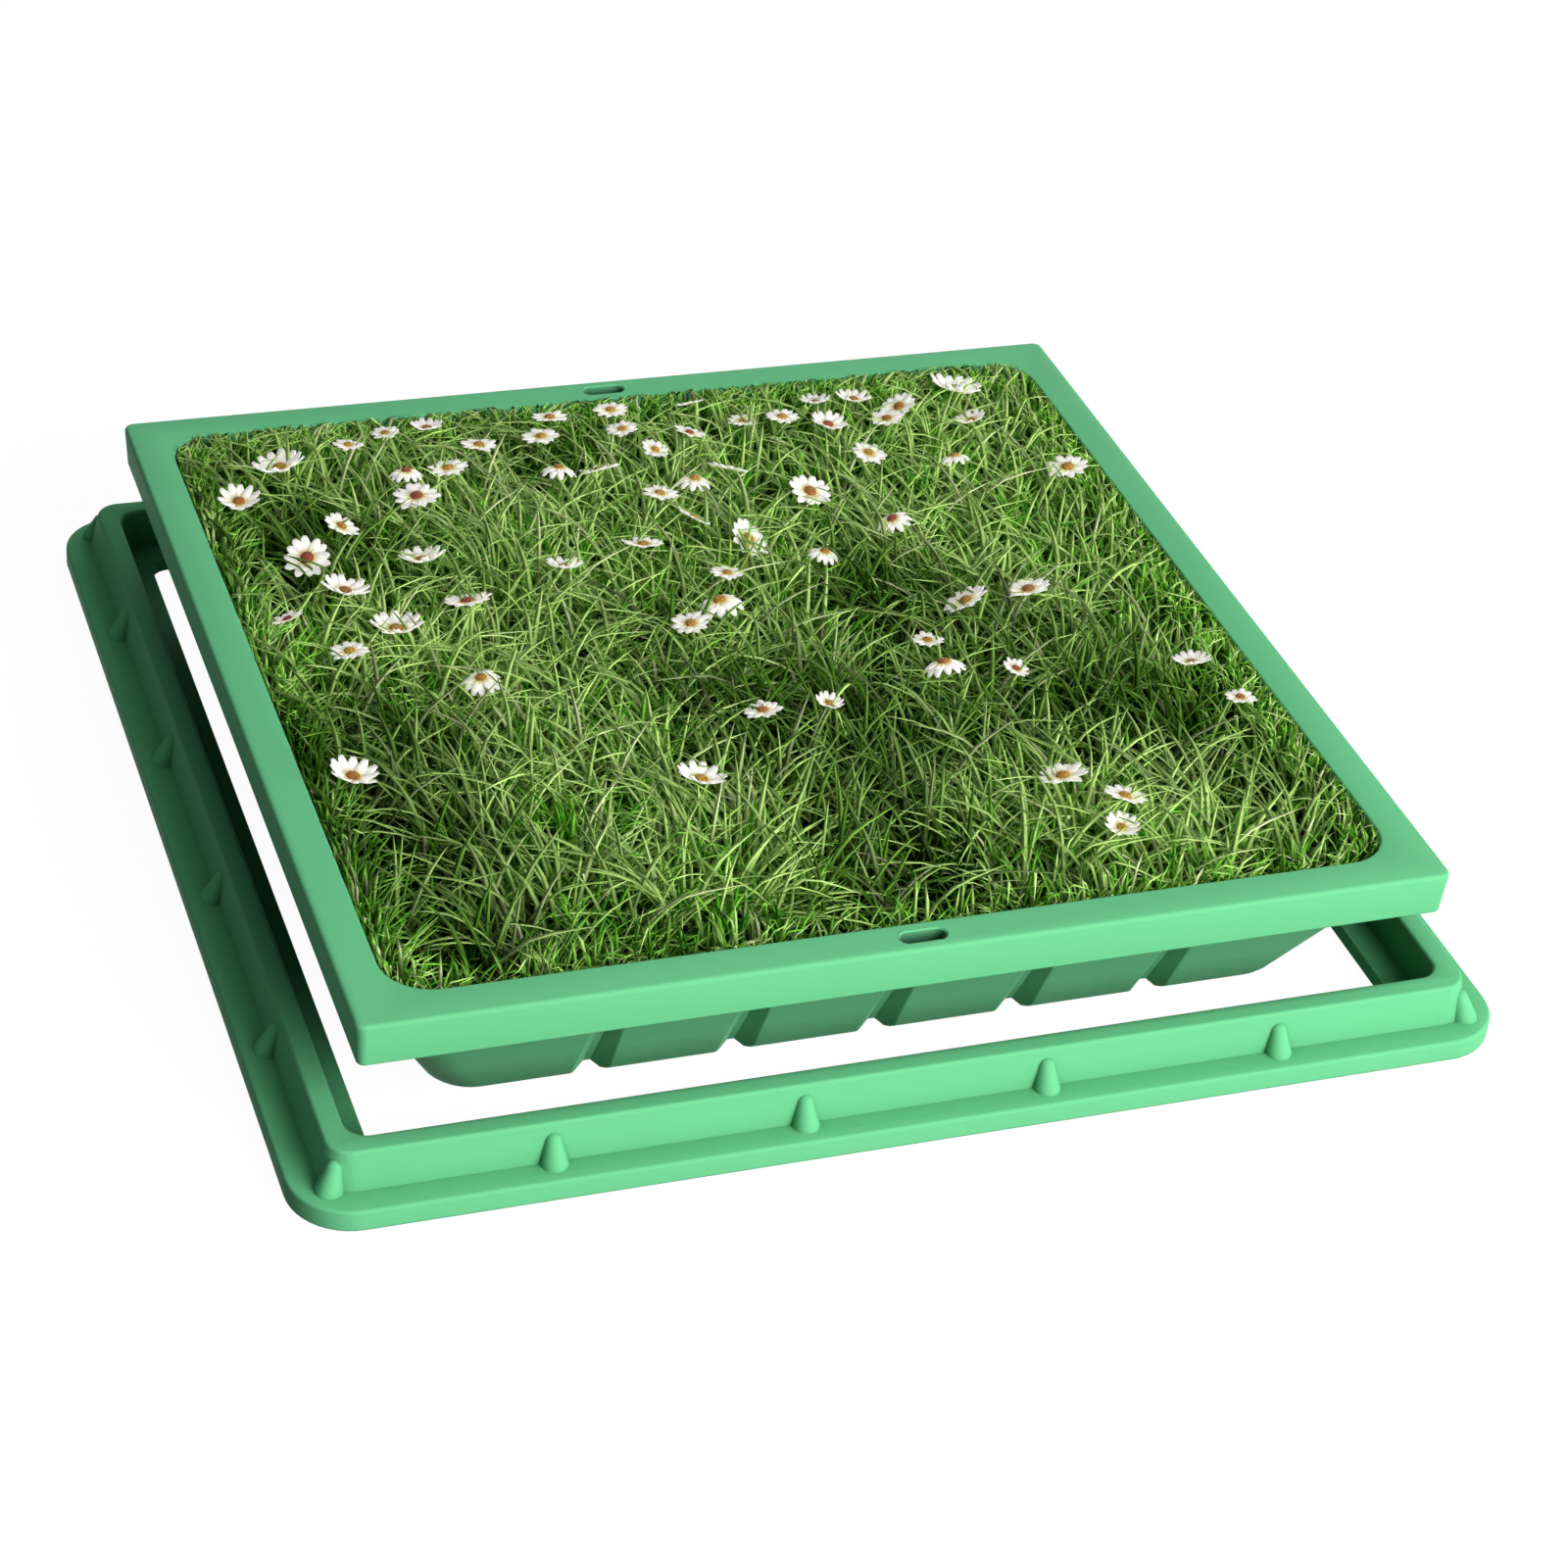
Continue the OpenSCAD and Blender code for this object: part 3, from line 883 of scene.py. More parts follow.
@dataclass(frozen=True)
class BladeShape:
    """One blade of grass.

    Attributes:
        length: Length along the blade.
        width: Width at its broadest.
        lean: Angle between its foot and upright.
        curl: How far it bends over from foot to tip.
        segments: Number of pieces along it.
        flatness: Width and thickness of the three-sided foot, as shares of the width.
    """

    length: float
    width: float
    lean: float
    curl: float
    segments: int
    flatness: tuple[float, float] = (0.7, 0.22)

    def mesh(self, attribute: str) -> bpy.types.Mesh:
        """Makes the blade's mesh, which grows from the origin and bends towards +Y.

        Args:
            attribute: Name of the colour attribute, whose red runs along the blade.

        Returns:
            A closed three-sided blade that ends in a point.
        """
        blade = bmesh.new()
        along = blade.verts.layers.float_color.new(attribute)
        ring = bmesh.ops.create_circle(blade, cap_ends=True, segments=3, radius=0.5)["verts"]
        broad, thick = self.flatness
        flat = Matrix.Diagonal((self.width * broad, self.width * thick, 1, 1))
        bmesh.ops.transform(blade, matrix=flat, verts=ring)
        face = blade.faces[:][0]
        if face.normal.z < 0:
            bmesh.ops.reverse_faces(blade, faces=[face])
        place = Vector((0, 0, 0))
        angle = self.lean
        turn = Matrix.Rotation(-self.curl / self.segments, 4, "X")
        for vert in blade.verts:
            vert[along] = (0, 0, 0, 1)
        for k in range(1, self.segments + 1):
            face = bmesh.ops.extrude_discrete_faces(blade, faces=[face])["faces"][0]
            angle += self.curl / self.segments
            step = Vector((0, math.sin(angle), math.cos(angle))) * self.length / self.segments
            taper = Matrix.Scale(self._taper(k) / self._taper(k - 1), 4)
            matrix = Matrix.Translation(place + step) @ turn @ taper @ Matrix.Translation(-place)
            bmesh.ops.transform(blade, matrix=matrix, verts=face.verts)
            for vert in face.verts:
                vert[along] = (k / self.segments, 0, 0, 1)
            place = place + step
        bmesh.ops.remove_doubles(blade, verts=blade.verts, dist=0.02 * MM)
        foot = [edge for edge in blade.edges if edge.is_boundary]
        bmesh.ops.holes_fill(blade, edges=foot, sides=3)
        bmesh.ops.recalc_face_normals(blade, faces=blade.faces)
        return baked(blade, "blade", smooth=True)

    def _taper(self, k: int) -> float:
        """Returns how broad the blade is there: 0.55 at its foot, 0.85 at a third, then a point."""
        share = k / self.segments
        return max(0.55 + 1.6 * share - 2.15 * share**2, 0.005)


@dataclass(frozen=True)
class Growth:
    """How the blades of one kind of clump grow. Lengths are in metres, angles in degrees.

    Attributes:
        blades: Number of blades in a clump.
        length: Shortest, longest and most usual length.
        width: Narrowest and broadest.
        lean: Least and greatest angle between a blade's foot and upright.
        curl: Least, greatest and most usual bend from foot to tip.
        segments: Number of pieces along a blade.
        scatter: How far the feet stand from the clump's middle.
        tone: Darkest and lightest tone, and how rare light ones are.
        fan: How far the blades turn from bending to the back, in radians.
    """

    blades: int
    length: tuple[float, float, float]
    width: tuple[float, float]
    lean: tuple[float, float]
    curl: tuple[float, float, float]
    segments: int
    scatter: float
    tone: tuple[float, float, float]
    fan: float = math.pi


class Kind(Enum):
    """The kinds of clumps: ground cover, long arching strands, and the verge at the wall."""

    GROUND = Growth(
        blades=13,
        length=(26 * MM, 72 * MM, 46 * MM),
        width=(2.3 * MM, 3.8 * MM),
        lean=(2, 26),
        curl=(0, 100, 30),
        segments=4,
        scatter=5.5 * MM,
        tone=(0.04, 0.95, 1.8),
    )
    STRANDS = Growth(
        blades=5,
        length=(60 * MM, 124 * MM, 88 * MM),
        width=(2.3 * MM, 3.6 * MM),
        lean=(4, 34),
        curl=(30, 120, 70),
        segments=7,
        scatter=7 * MM,
        tone=(0.6, 1.0, 0.7),
        fan=0.75,
    )
    VERGE = Growth(
        blades=9,
        length=(52 * MM, 72 * MM, 62 * MM),
        width=(2.0 * MM, 3.0 * MM),
        lean=(0, 12),
        curl=(0, 40, 16),
        segments=3,
        scatter=4 * MM,
        tone=(0.1, 0.95, 1.5),
    )


@dataclass(frozen=True)
class PaintedLight:
    """Painted light and shade on the grass from place to place, from 0 for dark to 1 for light.

    Attributes:
        level: Lightness in the middle, without the patches.
        contrast: How much the patches change it.
        broad: Broad patches to a metre.
        small: Small patches to a metre.
        small_share: Strength of the small patches against the broad ones.
        back: How much lighter the back is than the middle.
        sides: How much lighter both sides are.
        right: How much lighter the right is, beyond that.
    """

    level: float = 0.80
    contrast: float = 1.2
    broad: float = 9.0
    small: float = 24.0
    small_share: float = 0.8
    back: float = 0.26
    sides: float = 0.14
    right: float = 0.18

    def light(self, place: Vector, half: float) -> float:
        """Works out the painted light on the grass.

        Args:
            place: Where it stands.
            half: Half the width of the recess.

        Returns:
            The painted light, from 0 to 1.
        """
        small = self.small_share * noise.noise(place * self.small)
        patches = self.contrast * (noise.noise(place * self.broad) + small)
        slope = self.back * place.y + self.sides * abs(place.x) + self.right * place.x
        return min(max(self.level + patches + slope / half, 0.0), 1.0)


@dataclass
class Turf:
    """The grass: clumps of arching blades, in a few pieces that fill the recess.

    Attributes:
        recess: The room that it has.
        finish: Its surface.
        patches: Its painted light and shade from place to place, which also sizes the ground
            clumps.
        variants: Number of different clumps of each kind.
        blades: Number of different blades for each of those clumps.
        dry_rarity: How rare dry blades are.
        rows: Number of ground clumps along each side.
        jitter: How far they stand from even rows, as a share of the pitch.
        strand_clumps: Number of clumps of long strands.
        strand_border: How far those stand from the wall.
        verge_pitch: Distance between the clumps along the wall.
        verge_border: How far those stand from the wall.
        front_share: Share of those clumps that the front wall has.
        sizes: Smallest and largest size of a clump.
        growth: Size of ground clumps where the painted light is lowest, and what full painted light
            adds to it.
        wall_gap: How far the blades stay from the wall at the rim.
        shade: How much of a blade in the darkest painted shade rises out of the foot's painted
            shade.
        dimness: What the tones are multiplied by in the darkest painted shade, to which the painted
            light adds.
        parts: Number of pieces that the grass is split into.
        seed: Start of the random choices.
    """

    recess: Recess
    finish: BladeFinish = BladeFinish()
    patches: PaintedLight = PaintedLight()
    variants: int = 16
    blades: int = 3
    dry_rarity: int = 15
    rows: int = 34
    jitter: float = 0.45
    strand_clumps: int = 1100
    strand_border: float = 20 * MM
    verge_pitch: float = 5 * MM
    verge_border: float = 7 * MM
    front_share: float = 0.5
    sizes: tuple[float, float] = (0.85, 1.05)
    growth: tuple[float, float] = (0.70, 0.35)
    wall_gap: float = 0.8 * MM
    shade: float = 0.40
    dimness: float = 0.65
    parts: int = 5
    seed: int = 7
    chance: random.Random = field(init=False)

    def __post_init__(self) -> None:
        """Starts the random choices."""
        self.chance = random.Random(self.seed)

    def build(self) -> list[bpy.types.Object]:
        """Makes the pieces of the grass.

        Returns:
            The pieces, from the front to the back.
        """
        material = self.finish.material()
        clumps = {kind: self._clumps(kind.value) for kind in Kind}
        places = self._places()
        share = math.ceil(len(places) / self.parts)
        made = []
        for part in range(self.parts):
            name = f"turf_{part + 1}"
            mesh = self._planted(name, clumps, places[part * share : (part + 1) * share])
            made.append(finish_piece(name, mesh, material, self.finish.name))
        for mesh in sum(clumps.values(), []):
            bpy.data.meshes.remove(mesh)
        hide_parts(Node.TURF.value)
        return made

    def _clumps(self, growth: Growth) -> list[bpy.types.Mesh]:
        """Makes the different clumps of one kind.

        Args:
            growth: How their blades grow.

        Returns:
            The clumps' meshes, round the origin.
        """
        blades = [
            BladeShape(
                length=self.chance.triangular(*growth.length),
                width=self.chance.uniform(*growth.width),
                lean=math.radians(self.chance.uniform(*growth.lean)),
                curl=math.radians(self.chance.triangular(*growth.curl)),
                segments=growth.segments,
            ).mesh(self.finish.attribute)
            for _ in range(self.blades * self.variants)
        ]
        made = [self._clump(growth, blades) for _ in range(self.variants)]
        for mesh in blades:
            bpy.data.meshes.remove(mesh)
        return made

    def _clump(self, growth: Growth, blades: list[bpy.types.Mesh]) -> bpy.types.Mesh:
        """Sets blades in a loose clump.

        Args:
            growth: How they grow.
            blades: The blades to choose from.

        Returns:
            The clump's mesh, round the origin.
        """
        clump = bmesh.new()
        tone = clump.verts.layers.float_color.new(self.finish.attribute)
        low, high, power = growth.tone
        for _ in range(growth.blades):
            start = len(clump.verts)
            clump.from_mesh(self.chance.choice(blades))
            clump.verts.ensure_lookup_table()
            grown = clump.verts[start:]
            away = Vector((self.chance.gauss(0, 1), self.chance.gauss(0, 1), 0)) * growth.scatter
            turn = Matrix.Rotation(self.chance.gauss(0, growth.fan), 4, "Z")
            bmesh.ops.transform(clump, matrix=Matrix.Translation(away) @ turn, verts=grown)
            green = low + (high - low) * self.chance.random() ** power
            dry = self.chance.random() ** self.dry_rarity
            for vert in grown:
                vert[tone] = (vert[tone][0], green, dry, 1)
        return baked(clump, "clump")

    def _places(self) -> list[tuple[Kind, Vector]]:
        """Returns the kind and the place of each clump, from the front to the back."""
        half, soil = self.recess.half, self.recess.soil
        pitch = 2 * half / self.rows
        made = []
        for row in range(self.rows):
            for column in range(self.rows):
                x = (column + 0.5 + self.chance.uniform(-self.jitter, self.jitter)) * pitch - half
                y = (row + 0.5 + self.chance.uniform(-self.jitter, self.jitter)) * pitch - half
                made.append((Kind.GROUND, Vector((x, y, soil))))
        inner = half - self.strand_border
        for _ in range(self.strand_clumps):
            x, y = self.chance.uniform(-inner, inner), self.chance.uniform(-inner, inner)
            made.append((Kind.STRANDS, Vector((x, y, soil))))
        wall = half - self.verge_border
        for k in range(int(2 * wall / self.verge_pitch)):
            along = (k + self.chance.random()) * self.verge_pitch - wall
            for x, y in ((along, -wall), (along, wall), (-wall, along), (wall, along)):
                if y > -wall or self.chance.random() < self.front_share:
                    made.append((Kind.VERGE, Vector((x, y, soil))))
        made.sort(key=lambda item: item[1].y)
        return made

    def _planted(
        self,
        name: str,
        clumps: dict[Kind, list[bpy.types.Mesh]],
        places: list[tuple[Kind, Vector]],
    ) -> bpy.types.Mesh:
        """Plants clumps at their places, and keeps the blades inside the recess.

        Args:
            name: Name of the mesh.
            clumps: The clumps of each kind to choose from.
            places: The kind and the place of each.

        Returns:
            One mesh with all of them.
        """
        grown = bmesh.new()
        grown.verts.layers.float_color.new(self.finish.attribute)
        lights = []
        for kind, place in places:
            clump = self.chance.choice(clumps[kind])
            # Painted light and shade at the clump's place; it also sets a ground clump's size.
            light = self.patches.light(place, self.recess.half)
            size = self.chance.uniform(*self.sizes)
            if kind is Kind.GROUND:
                size *= self.growth[0] + self.growth[1] * light
            turn = Matrix.Rotation(self.chance.gauss(0, kind.value.fan), 4, "Z")
            add_copy(grown, clump, Matrix.Translation(place) @ turn @ Matrix.Scale(size, 4))
            lights.extend([light] * len(clump.vertices))
        mesh = baked(grown, name)
        points = np.empty(len(mesh.vertices) * 3)
        mesh.vertices.foreach_get("co", points)
        held = self.recess.hold(points.reshape(-1, 3), self.wall_gap)
        mesh.vertices.foreach_set("co", held.ravel())
        self._paint_shade(mesh, np.array(lights))
        mesh.update()
        return mesh

    def _paint_shade(self, mesh: bpy.types.Mesh, light: np.ndarray) -> None:
        """Paints shade on the blades: darkens them where the painted light is low.

        Args:
            mesh: The grass.
            light: The painted light at each vertex, from 0 to 1.
        """
        data = mesh.attributes[self.finish.attribute].data
        colours = np.empty(len(data) * 4)
        data.foreach_get("color", colours)
        table = colours.reshape(-1, 4)
        # Painted shade: the dark foot reaches further up and the tone drops where the painted light
        # is low.
        table[:, 0] *= self.shade + (1 - self.shade) * light
        table[:, 1] = np.clip(table[:, 1] * (self.dimness + light), 0, 1)
        data.foreach_set("color", table.ravel())


def add_copy(form: bmesh.types.BMesh, mesh: bpy.types.Mesh, matrix: Matrix) -> None:
    """Adds a copy of a mesh to a form.

    Args:
        form: The form.
        mesh: The mesh, which stays as it is.
        matrix: Where the copy comes.
    """
    mesh.transform(matrix)
    form.from_mesh(mesh)
    mesh.transform(matrix.inverted())


@dataclass(frozen=True)
class Stand:
    """Where one daisy stands, as its solid gives it.

    Attributes:
        centre: Middle of the flower head.
        radius: Radius across the petals.
        foot: Height at which the stalk leaves the turf.
    """

    centre: Vector
    radius: float
    foot: float


@dataclass(frozen=True)
class Bearing:
    """How a flower holds its petals and its head.

    Attributes:
        rise: Rise of the petals' tips, as a share of the flower's radius.
        tilt: Usual tilt of the head, in degrees.
        share: How often it comes, against the others.
    """

    rise: float
    tilt: float
    share: int


class Habit(Enum):
    """The ways in which the flowers hold themselves."""

    OPEN = Bearing(0.04, 12.0, 4)
    CUPPED = Bearing(0.30, 17.0, 3)
    DROOPING = Bearing(-0.36, 20.0, 2)
    TURNED = Bearing(0.10, 30.0, 3)


@dataclass(frozen=True)
class PetalShape:
    """One petal of a flower of radius one, which points to +Y.

    Attributes:
        segments: Number of squares across it and along it.
        root: Distance of its root from the flower's middle.
        lengths: Least and greatest distance of its tip from there.
        narrow: Half its width at its root.
        belly: What its broadest place adds to that.
        tip: Share of its length that its rounded tip takes.
        rounding: How far the tip's sides are drawn back.
        hollow: How far its sides stand above its middle line.
        overlap: How far every second petal lies above the others.
        uneven_rise: How far the rise of its tip may differ from the habit's.
        uneven_turn: How far it may turn from its even place, in radians.
        wall: Its thickness.
        top: How far its sides may reach above its tip's middle line.
    """

    segments: tuple[int, int] = (2, 5)
    root: float = 0.16
    lengths: tuple[float, float] = (0.88, 1.0)
    narrow: float = 0.055
    belly: float = 0.135
    tip: float = 0.2
    rounding: float = 0.05
    hollow: float = 0.035
    overlap: float = 0.02
    uneven_rise: float = 0.07
    uneven_turn: float = 0.08
    wall: float = 0.02
    top: float = 0.05

    def point(self, along: float, across: float, length: float, rise: float) -> Vector:
        """Places a point of the petal.

        Args:
            along: From 0 at its root to 1 at its tip.
            across: From -1 to 1.
            length: Distance of its tip from the flower's middle.
            rise: How far its tip stands above its root.

        Returns:
            The place.
        """
        # Broadest at its middle, and blunt at both ends.
        swell = math.sin(math.pi * (along * 0.9 + 0.05)) ** 0.7
        reach = self.root + (length - self.root) * along
        back = self.rounding * max(along - 1 + self.tip, 0) / self.tip * across**2
        height = rise * along**2 + self.hollow * across**2 - self.wall
        return Vector((across * (self.narrow + self.belly * swell), reach - back, height))


@dataclass
class Daisies:
    """The daisies: white petals round a domed centre, on bent stalks.

    Attributes:
        recess: The room that they have.
        petals: Fewest and most petals of a flower.
        petal: Shape of a petal.
        crowns: Number of different rings of petals for each habit.
        ages: Ages of the different centres, from 0 for yellow to 1 for red-brown.
        eye_share: Radius of the centre, as a share of the flower's.
        eye_flatness: Height of the centre's dome, as a share of its radius.
        eye_lift: How far the centre stands above the petals' roots.
        eye_lumps: Lumps of the centre, along the flower's radius.
        eye_relief: Height of those lumps, as a share of the centre's radius.
        cup_foot: Radius of the cup where the stalk joins it.
        cup_depth: Height of the cup.
        turn: How far the heads turn from leaning to the back, in radians.
        tilts: Least and greatest tilt of a head, as shares of its habit's.
        wall_room: Room to the wall below which a head tilts less, as a share of its radius.
        wall_tilt: Share of its tilt that a head near the wall keeps.
        head_rise: Least and greatest height of a flower's middle above the rim.
        height: How far above the rim a petal's tip may stand.
        stalk: Radius of the stalks.
        bend: How far a stalk may bend to each side.
        steps: Number of pieces along a stalk.
        seed: Start of the random choices.
        petal_finish: Surface of the petals.
        eye_finish: Surface of the centres.
        green_finish: Surface of the cups and the stalks.
    """

    recess: Recess
    petals: tuple[int, int] = (10, 13)
    petal: PetalShape = PetalShape()
    crowns: int = 3
    ages: tuple[float, ...] = (0.0, 0.1, 0.35, 0.6, 1.0)
    eye_share: float = 0.27
    eye_flatness: float = 0.55
    eye_lift: float = 0.05
    eye_lumps: float = 22.0
    eye_relief: float = 0.05
    cup_foot: float = 0.07
    cup_depth: float = 0.22
    turn: float = 1.0
    tilts: tuple[float, float] = (0.5, 1.2)
    wall_room: float = 1.6
    wall_tilt: float = 0.4
    head_rise: tuple[float, float] = (4 * MM, 8 * MM)
    height: float = 12 * MM
    stalk: float = 0.8 * MM
    bend: float = 3 * MM
    steps: int = 5
    seed: int = 5
    petal_finish: PetalFinish = PetalFinish()
    eye_finish: EyeFinish = EyeFinish()
    green_finish: StalkFinish = StalkFinish()
    chance: random.Random = field(init=False)

    def __post_init__(self) -> None:
        """Starts the random choices."""
        self.chance = random.Random(self.seed)

    def build(self, solid: bpy.types.Object) -> list[bpy.types.Object]:
        """Makes the flowers where the solid's stand.

        Args:
            solid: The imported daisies.

        Returns:
            The pieces: petals, centres and stalks.
        """
        crowns = {habit: [self._crown(habit) for _ in range(self.crowns)] for habit in Habit}
        eyes = [self._eye(age) for age in self.ages]
        cup = self._cup()
        white, yellow, green = bmesh.new(), bmesh.new(), bmesh.new()
        white.verts.layers.float_color.new(self.petal_finish.attribute)
        yellow.verts.layers.float_color.new(self.eye_finish.attribute)
        shares = [habit.value.share for habit in Habit]
        for stand in self._stands(solid):
            habit = self.chance.choices(list(Habit), weights=shares)[0]
            matrix = self._pose(stand, habit)
            add_copy(white, self.chance.choice(crowns[habit]), matrix)
            add_copy(yellow, self.chance.choice(eyes), matrix)
            add_copy(green, cup, matrix)
            self._grow_stalk(green, stand, matrix.to_translation())
        bmesh.ops.recalc_face_normals(green, faces=green.faces)
        made = []
        for name, form, finish in (
            ("daisy_petals", white, self.petal_finish),
            ("daisy_eyes", yellow, self.eye_finish),
            ("daisy_stalks", green, self.green_finish),
        ):
            mesh = baked(form, name)
            made.append(finish_piece(name, mesh, finish.material(), Node.DAISIES.value))
        for mesh in [*sum(crowns.values(), []), *eyes, cup]:
            bpy.data.meshes.remove(mesh)
        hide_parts(Node.DAISIES.value)
        return made

    def _stands(self, solid: bpy.types.Object) -> list[Stand]:
        """Reads where the flowers stand.

        Args:
            solid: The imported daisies, one loose part for each.

        Returns:
            The stands, from the front to the back.
        """
        form = merged(solid)
        form.verts.index_update()
        made = []
        for points in self._loose_parts(form):
            low, high = points.min(axis=0), points.max(axis=0)
            middle = (low + high) / 2
            top = self.recess.rim + self.chance.uniform(*self.head_rise)
            head = Vector((middle[0], middle[1], top))
            made.append(Stand(head, float(high[0] - low[0]) / 2, float(low[2])))
        form.free()
        made.sort(key=lambda stand: (round(stand.centre.y, 4), round(stand.centre.x, 4)))
        return made

    @staticmethod
    def _loose_parts(form: bmesh.types.BMesh) -> Iterator[np.ndarray]:
        """Goes through the loose parts in the order of their first vertices.

        Args:
            form: The form, with its vertices numbered.

        Yields:
            The places of a part's vertices.
        """
        seen: set[int] = set()
        for first in form.verts:
            if first.index in seen:
                continue
            seen.add(first.index)
            front, part = [first], []
            while front:
                vert = front.pop()
                part.append(vert.co)
                for edge in vert.link_edges:
                    other = edge.other_vert(vert)
                    if other.index not in seen:
                        seen.add(other.index)
                        front.append(other)
            yield np.array(part)

    def _pose(self, stand: Stand, habit: Habit) -> Matrix:
        """Works out how a flower sits on its stalk.

        Args:
            stand: Where it stands.
            habit: How it holds its petals.

        Returns:
            The matrix that takes a flower of radius one to its place.
        """
        tilt = math.radians(habit.value.tilt * self.chance.uniform(*self.tilts))
        towards = self.chance.gauss(math.pi, self.turn)
        edge = self.recess.half - max(abs(stand.centre.x), abs(stand.centre.y))
        if edge < stand.radius * self.wall_room:
            tilt *= self.wall_tilt
        tip = stand.radius * (math.sin(tilt) + max(habit.value.rise, 0.0) + self.petal.top)
        centre = stand.centre.copy()
        centre.z = min(centre.z, self.recess.rim + self.height - tip)
        return (
            Matrix.Translation(centre)
            @ Matrix.Rotation(towards, 4, "Z")
            @ Matrix.Rotation(tilt, 4, "X")
            @ Matrix.Rotation(self.chance.uniform(0, math.tau), 4, "Z")
            @ Matrix.Scale(stand.radius, 4)
        )

    def _crown(self, habit: Habit) -> bpy.types.Mesh:
        """Makes the petals of a flower of radius one.

        Args:
            habit: How it holds them.

        Returns:
            The petals' mesh.
        """
        petal = self.petal
        columns, rows = petal.segments
        crown = bmesh.new()
        layer = crown.verts.layers.float_color.new(self.petal_finish.attribute)
        petals = self.chance.randint(*self.petals)
        for k in range(petals):
            start = len(crown.verts)
            bmesh.ops.create_grid(crown, x_segments=columns, y_segments=rows, size=0.5)
            crown.verts.ensure_lookup_table()
            made = crown.verts[start:]
            length = self.chance.uniform(*petal.lengths)
            rise = habit.value.rise + self.chance.uniform(-petal.uneven_rise, petal.uneven_rise)
            for vert in made:
                along, across = vert.co.y + 0.5, vert.co.x * 2
                vert[layer] = (along, across, 0, 1)
                vert.co = petal.point(along, across, length, rise)
            lift = Matrix.Translation((0, 0, petal.overlap * (k % 2)))
            aside = self.chance.uniform(-petal.uneven_turn, petal.uneven_turn)
            turn = Matrix.Rotation(math.tau * k / petals + aside, 4, "Z")
            bmesh.ops.transform(crown, matrix=turn @ lift, verts=made)
        bmesh.ops.recalc_face_normals(crown, faces=crown.faces)
        bmesh.ops.solidify(crown, geom=crown.faces[:], thickness=petal.wall)
        return baked(crown, "crown", smooth=True)

    def _eye(self, age: float) -> bpy.types.Mesh:
        """Makes the domed centre of a flower of radius one.

        Args:
            age: From 0 for yellow to 1 for red-brown.

        Returns:
            The centre's mesh.
        """
        eye = bmesh.new()
        layer = eye.verts.layers.float_color.new(self.eye_finish.attribute)
        bmesh.ops.create_icosphere(eye, subdivisions=2, radius=self.eye_share)
        for vert in eye.verts:
            vert.co *= 1 + self.eye_relief * noise.noise(vert.co * self.eye_lumps)
            vert.co.z = vert.co.z * self.eye_flatness + self.eye_lift
            vert[layer] = (age, 0, 0, 1)
        return baked(eye, "eye", smooth=True)

    def _cup(self) -> bpy.types.Mesh:
        """Returns the green cup under a flower of radius one."""
        cup = bmesh.new()
        bmesh.ops.create_cone(
            cup,
            cap_ends=True,
            segments=10,
            radius1=self.cup_foot,
            radius2=self.eye_share * 0.95,
            depth=self.cup_depth,
        )
        bmesh.ops.translate(cup, vec=Vector((0, 0, -self.cup_depth / 2)), verts=cup.verts)
        return baked(cup, "cup", smooth=True)

    def _grow_stalk(self, form: bmesh.types.BMesh, stand: Stand, top: Vector) -> None:
        """Grows a bent stalk from the turf to a flower.

        Args:
            form: Where it is added.
            stand: Where the flower stands.
            top: Middle of the flower.
        """
        start = len(form.verts)
        bmesh.ops.create_circle(form, cap_ends=True, segments=6, radius=self.stalk)
        form.verts.ensure_lookup_table()
        form.faces.ensure_lookup_table()
        foot = Vector((stand.centre.x, stand.centre.y, stand.foot))
        ring = form.verts[start:]
        bmesh.ops.translate(form, vec=foot, verts=ring)
        face = form.faces[-1]
        bend = Vector((self.chance.uniform(-1, 1), self.chance.uniform(-1, 1), 0)) * self.bend
        for k in range(1, self.steps + 1):
            face = bmesh.ops.extrude_discrete_faces(form, faces=[face])["faces"][0]
            share = k / self.steps
            here = foot.lerp(top, share) + bend * math.sin(math.pi * share)
            move = here - face.calc_center_median()
            bmesh.ops.translate(form, vec=move, verts=face.verts)
        rim = {edge for vert in ring for edge in vert.link_edges if edge.is_boundary}
        bmesh.ops.holes_fill(form, edges=list(rim), sides=len(ring))


@dataclass(frozen=True)
class Lamp:
    """A round lamp that shines at the origin.

    Attributes:
        name: Its name.
        place: Where it hangs.
        size: Its diameter.
        power: Its power in watts.
    """

    name: str
    place: tuple[float, float, float]
    size: float
    power: float

    def hang(self) -> None:
        """Puts the lamp in the scene."""
        data = bpy.data.lights.new(self.name, "AREA")
        data.shape = "DISK"
        data.size = self.size
        data.energy = self.power
        lamp = bpy.data.objects.new(self.name, data)
        lamp.location = self.place
        lamp.rotation_euler = (-Vector(self.place)).to_track_quat("-Z", "Y").to_euler()
        bpy.context.scene.collection.objects.link(lamp)


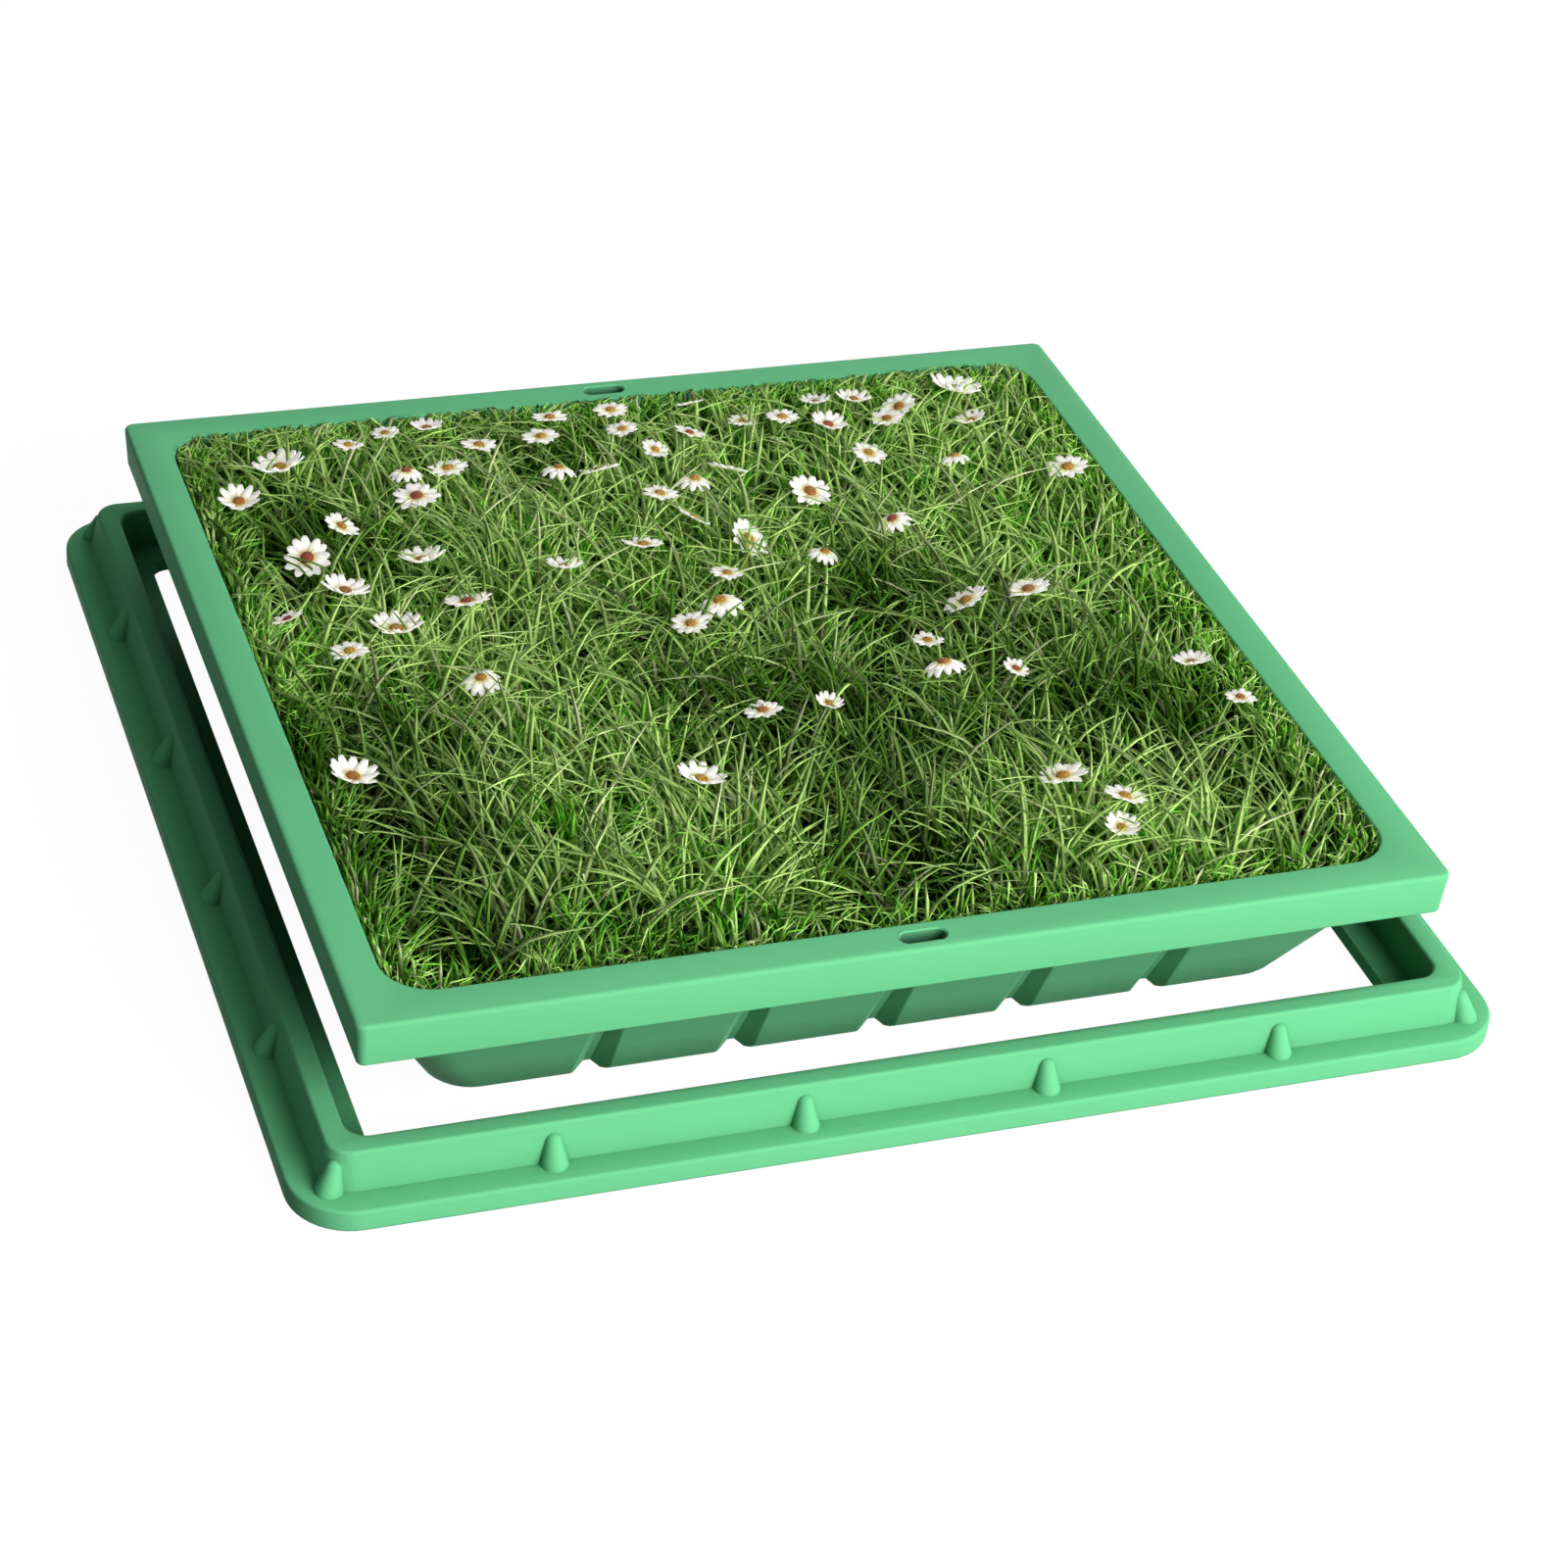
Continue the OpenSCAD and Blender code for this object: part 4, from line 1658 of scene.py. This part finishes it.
@dataclass
class Studio:
    """Pale floor, soft lamps and the camera at the photograph's viewing angle.

    Attributes:
        focal_px: Focal length in pixels of the photograph.
        photo_px: Width of the photograph in pixels.
        sensor: Width of the camera's sensor, in millimetres.
        yaw: How far the camera stands to the left of the cover's front.
        pitch: How far it looks down.
        roll: How far it is turned about its own axis.
        offset: Where the middle of the lid's top lies from the camera: right, down, ahead.
        lid_top: Height of the lid's top.
        sight: How far the camera sees.
        floor_half: Half the width of the floor.
        floor_grey: How much light the floor throws back on the cover.
        floor_glow: Strength of the white that the camera sees on the floor.
        glow_share: How much of that shows, against the floor's own grey.
        ambience: Strength of the world's light on the cover.
        lamps: Key lamp in front on the right, a fill above and a lamp behind.
    """

    focal_px: float = 3935.7
    photo_px: float = 1600.0
    sensor: float = 36.0
    yaw: float = math.radians(22.04)
    pitch: float = math.radians(34.66)
    roll: float = math.radians(5.84)
    offset: Vector = field(default_factory=lambda: Vector((-20.94, -84.97, 2198.27)) * MM)
    lid_top: float = 100 * MM
    sight: float = 60.0
    floor_half: float = 14.0
    floor_grey: float = 0.12
    floor_glow: float = 2.4
    glow_share: float = 0.4
    ambience: float = 0.12
    lamps: tuple[Lamp, ...] = (
        Lamp("key", (1.6, -3.2, 1.78), 3.2, 215.0),
        Lamp("fill", (0.3, 0.4, 3.6), 2.6, 3.0),
        Lamp("back", (1.4, 3.3, 1.1), 2.4, 38.0),
    )

    def build(self) -> None:
        """Sets up the camera, the floor, the lamps and the world."""
        self._set_camera()
        self._lay_floor()
        for lamp in self.lamps:
            lamp.hang()
        self._light_world()
        bpy.context.scene.view_settings.view_transform = "Standard"

    def _set_camera(self) -> None:
        """Places the camera."""
        right = Vector((math.cos(self.yaw), -math.sin(self.yaw), 0))
        ahead = Vector((math.sin(self.yaw), math.cos(self.yaw), 0)) * math.cos(self.pitch)
        ahead.z = -math.sin(self.pitch)
        up = right.cross(ahead)
        side = math.cos(self.roll) * right + math.sin(self.roll) * up
        top = -math.sin(self.roll) * right + math.cos(self.roll) * up
        place = -(side * self.offset.x - top * self.offset.y + ahead * self.offset.z)
        place.z += self.lid_top
        turn = Matrix((side, top, -ahead)).transposed().to_4x4()
        data = bpy.data.cameras.new("camera")
        data.sensor_width = self.sensor
        data.lens = self.focal_px / self.photo_px * self.sensor
        data.clip_end = self.sight
        camera = bpy.data.objects.new("camera", data)
        camera.matrix_world = Matrix.Translation(place) @ turn
        bpy.context.scene.collection.objects.link(camera)
        bpy.context.scene.camera = camera

    @staticmethod
    def _seen(tree: ShaderTree) -> bpy.types.NodeSocket:
        """Makes a mask of the rays that come from the camera, a gloss or a glass.

        Args:
            tree: The tree of the floor's material or of the world.

        Returns:
            The mask: 1 for such rays and 0 for light on the cover.
        """
        rays = tree.add("LightPath").outputs
        seen = tree.math("MAXIMUM", rays["Is Camera Ray"], rays["Is Glossy Ray"])
        return tree.math("MAXIMUM", seen, rays["Is Transmission Ray"])

    def _lay_floor(self) -> None:
        """Lays the floor, which looks white, takes a faint shadow and casts none."""
        form = bmesh.new()
        bmesh.ops.create_grid(form, x_segments=2, y_segments=2, size=self.floor_half)
        mesh = baked(form, "floor")
        mesh.materials.append(self._floor_material())
        floor = bpy.data.objects.new("floor", mesh)
        bpy.context.scene.collection.objects.link(floor)
        floor.visible_shadow = False

    def _floor_material(self) -> bpy.types.Material:
        """Returns the floor's material: grey to the cover, and white to the camera."""
        material = bpy.data.materials.new("floor")
        material.use_nodes = True
        material.node_tree.nodes.clear()
        tree = ShaderTree(material.node_tree)
        grey = tree.add("BsdfDiffuse", {"Color": (self.floor_grey,) * 3}).outputs["BSDF"]
        glow = tree.add("Emission", {"Color": WHITE, "Strength": self.floor_glow})
        share = tree.math("MULTIPLY", self._seen(tree), self.glow_share)
        inputs = {"Fac": share, 1: grey, 2: glow.outputs["Emission"]}
        surface = tree.add("MixShader", inputs).outputs["Shader"]
        tree.add("OutputMaterial", {"Surface": surface})
        return material

    def _light_world(self) -> None:
        """Makes the world white to the camera and dim to everything else."""
        world = bpy.data.worlds.new("studio")
        world.use_nodes = True
        bpy.context.scene.world = world
        tree = ShaderTree(world.node_tree)
        strength = tree.spread(self._seen(tree), 0.0, 1.0, self.ambience, 1.0)
        back = world.node_tree.nodes["Background"]
        tree.feed(back, {"Color": WHITE, "Strength": strength})


def main() -> None:
    """Builds the cover and its studio."""
    logging.basicConfig(level=logging.INFO, format="%(name)s: %(message)s")
    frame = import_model()
    finish = MouldedFinish()
    recess = Recess.measured()
    Moulding(Node.FRAME, finish).build(frame["nodes"][Node.FRAME.value])
    Moulding(Node.LID, finish).build(frame["nodes"][Node.LID.value])
    SoilBed().build(frame["nodes"][Node.SOIL.value])
    Turf(recess).build()
    Daisies(recess).build(frame["nodes"][Node.DAISIES.value])
    Studio().build()


if __name__ == "__main__":
    main()
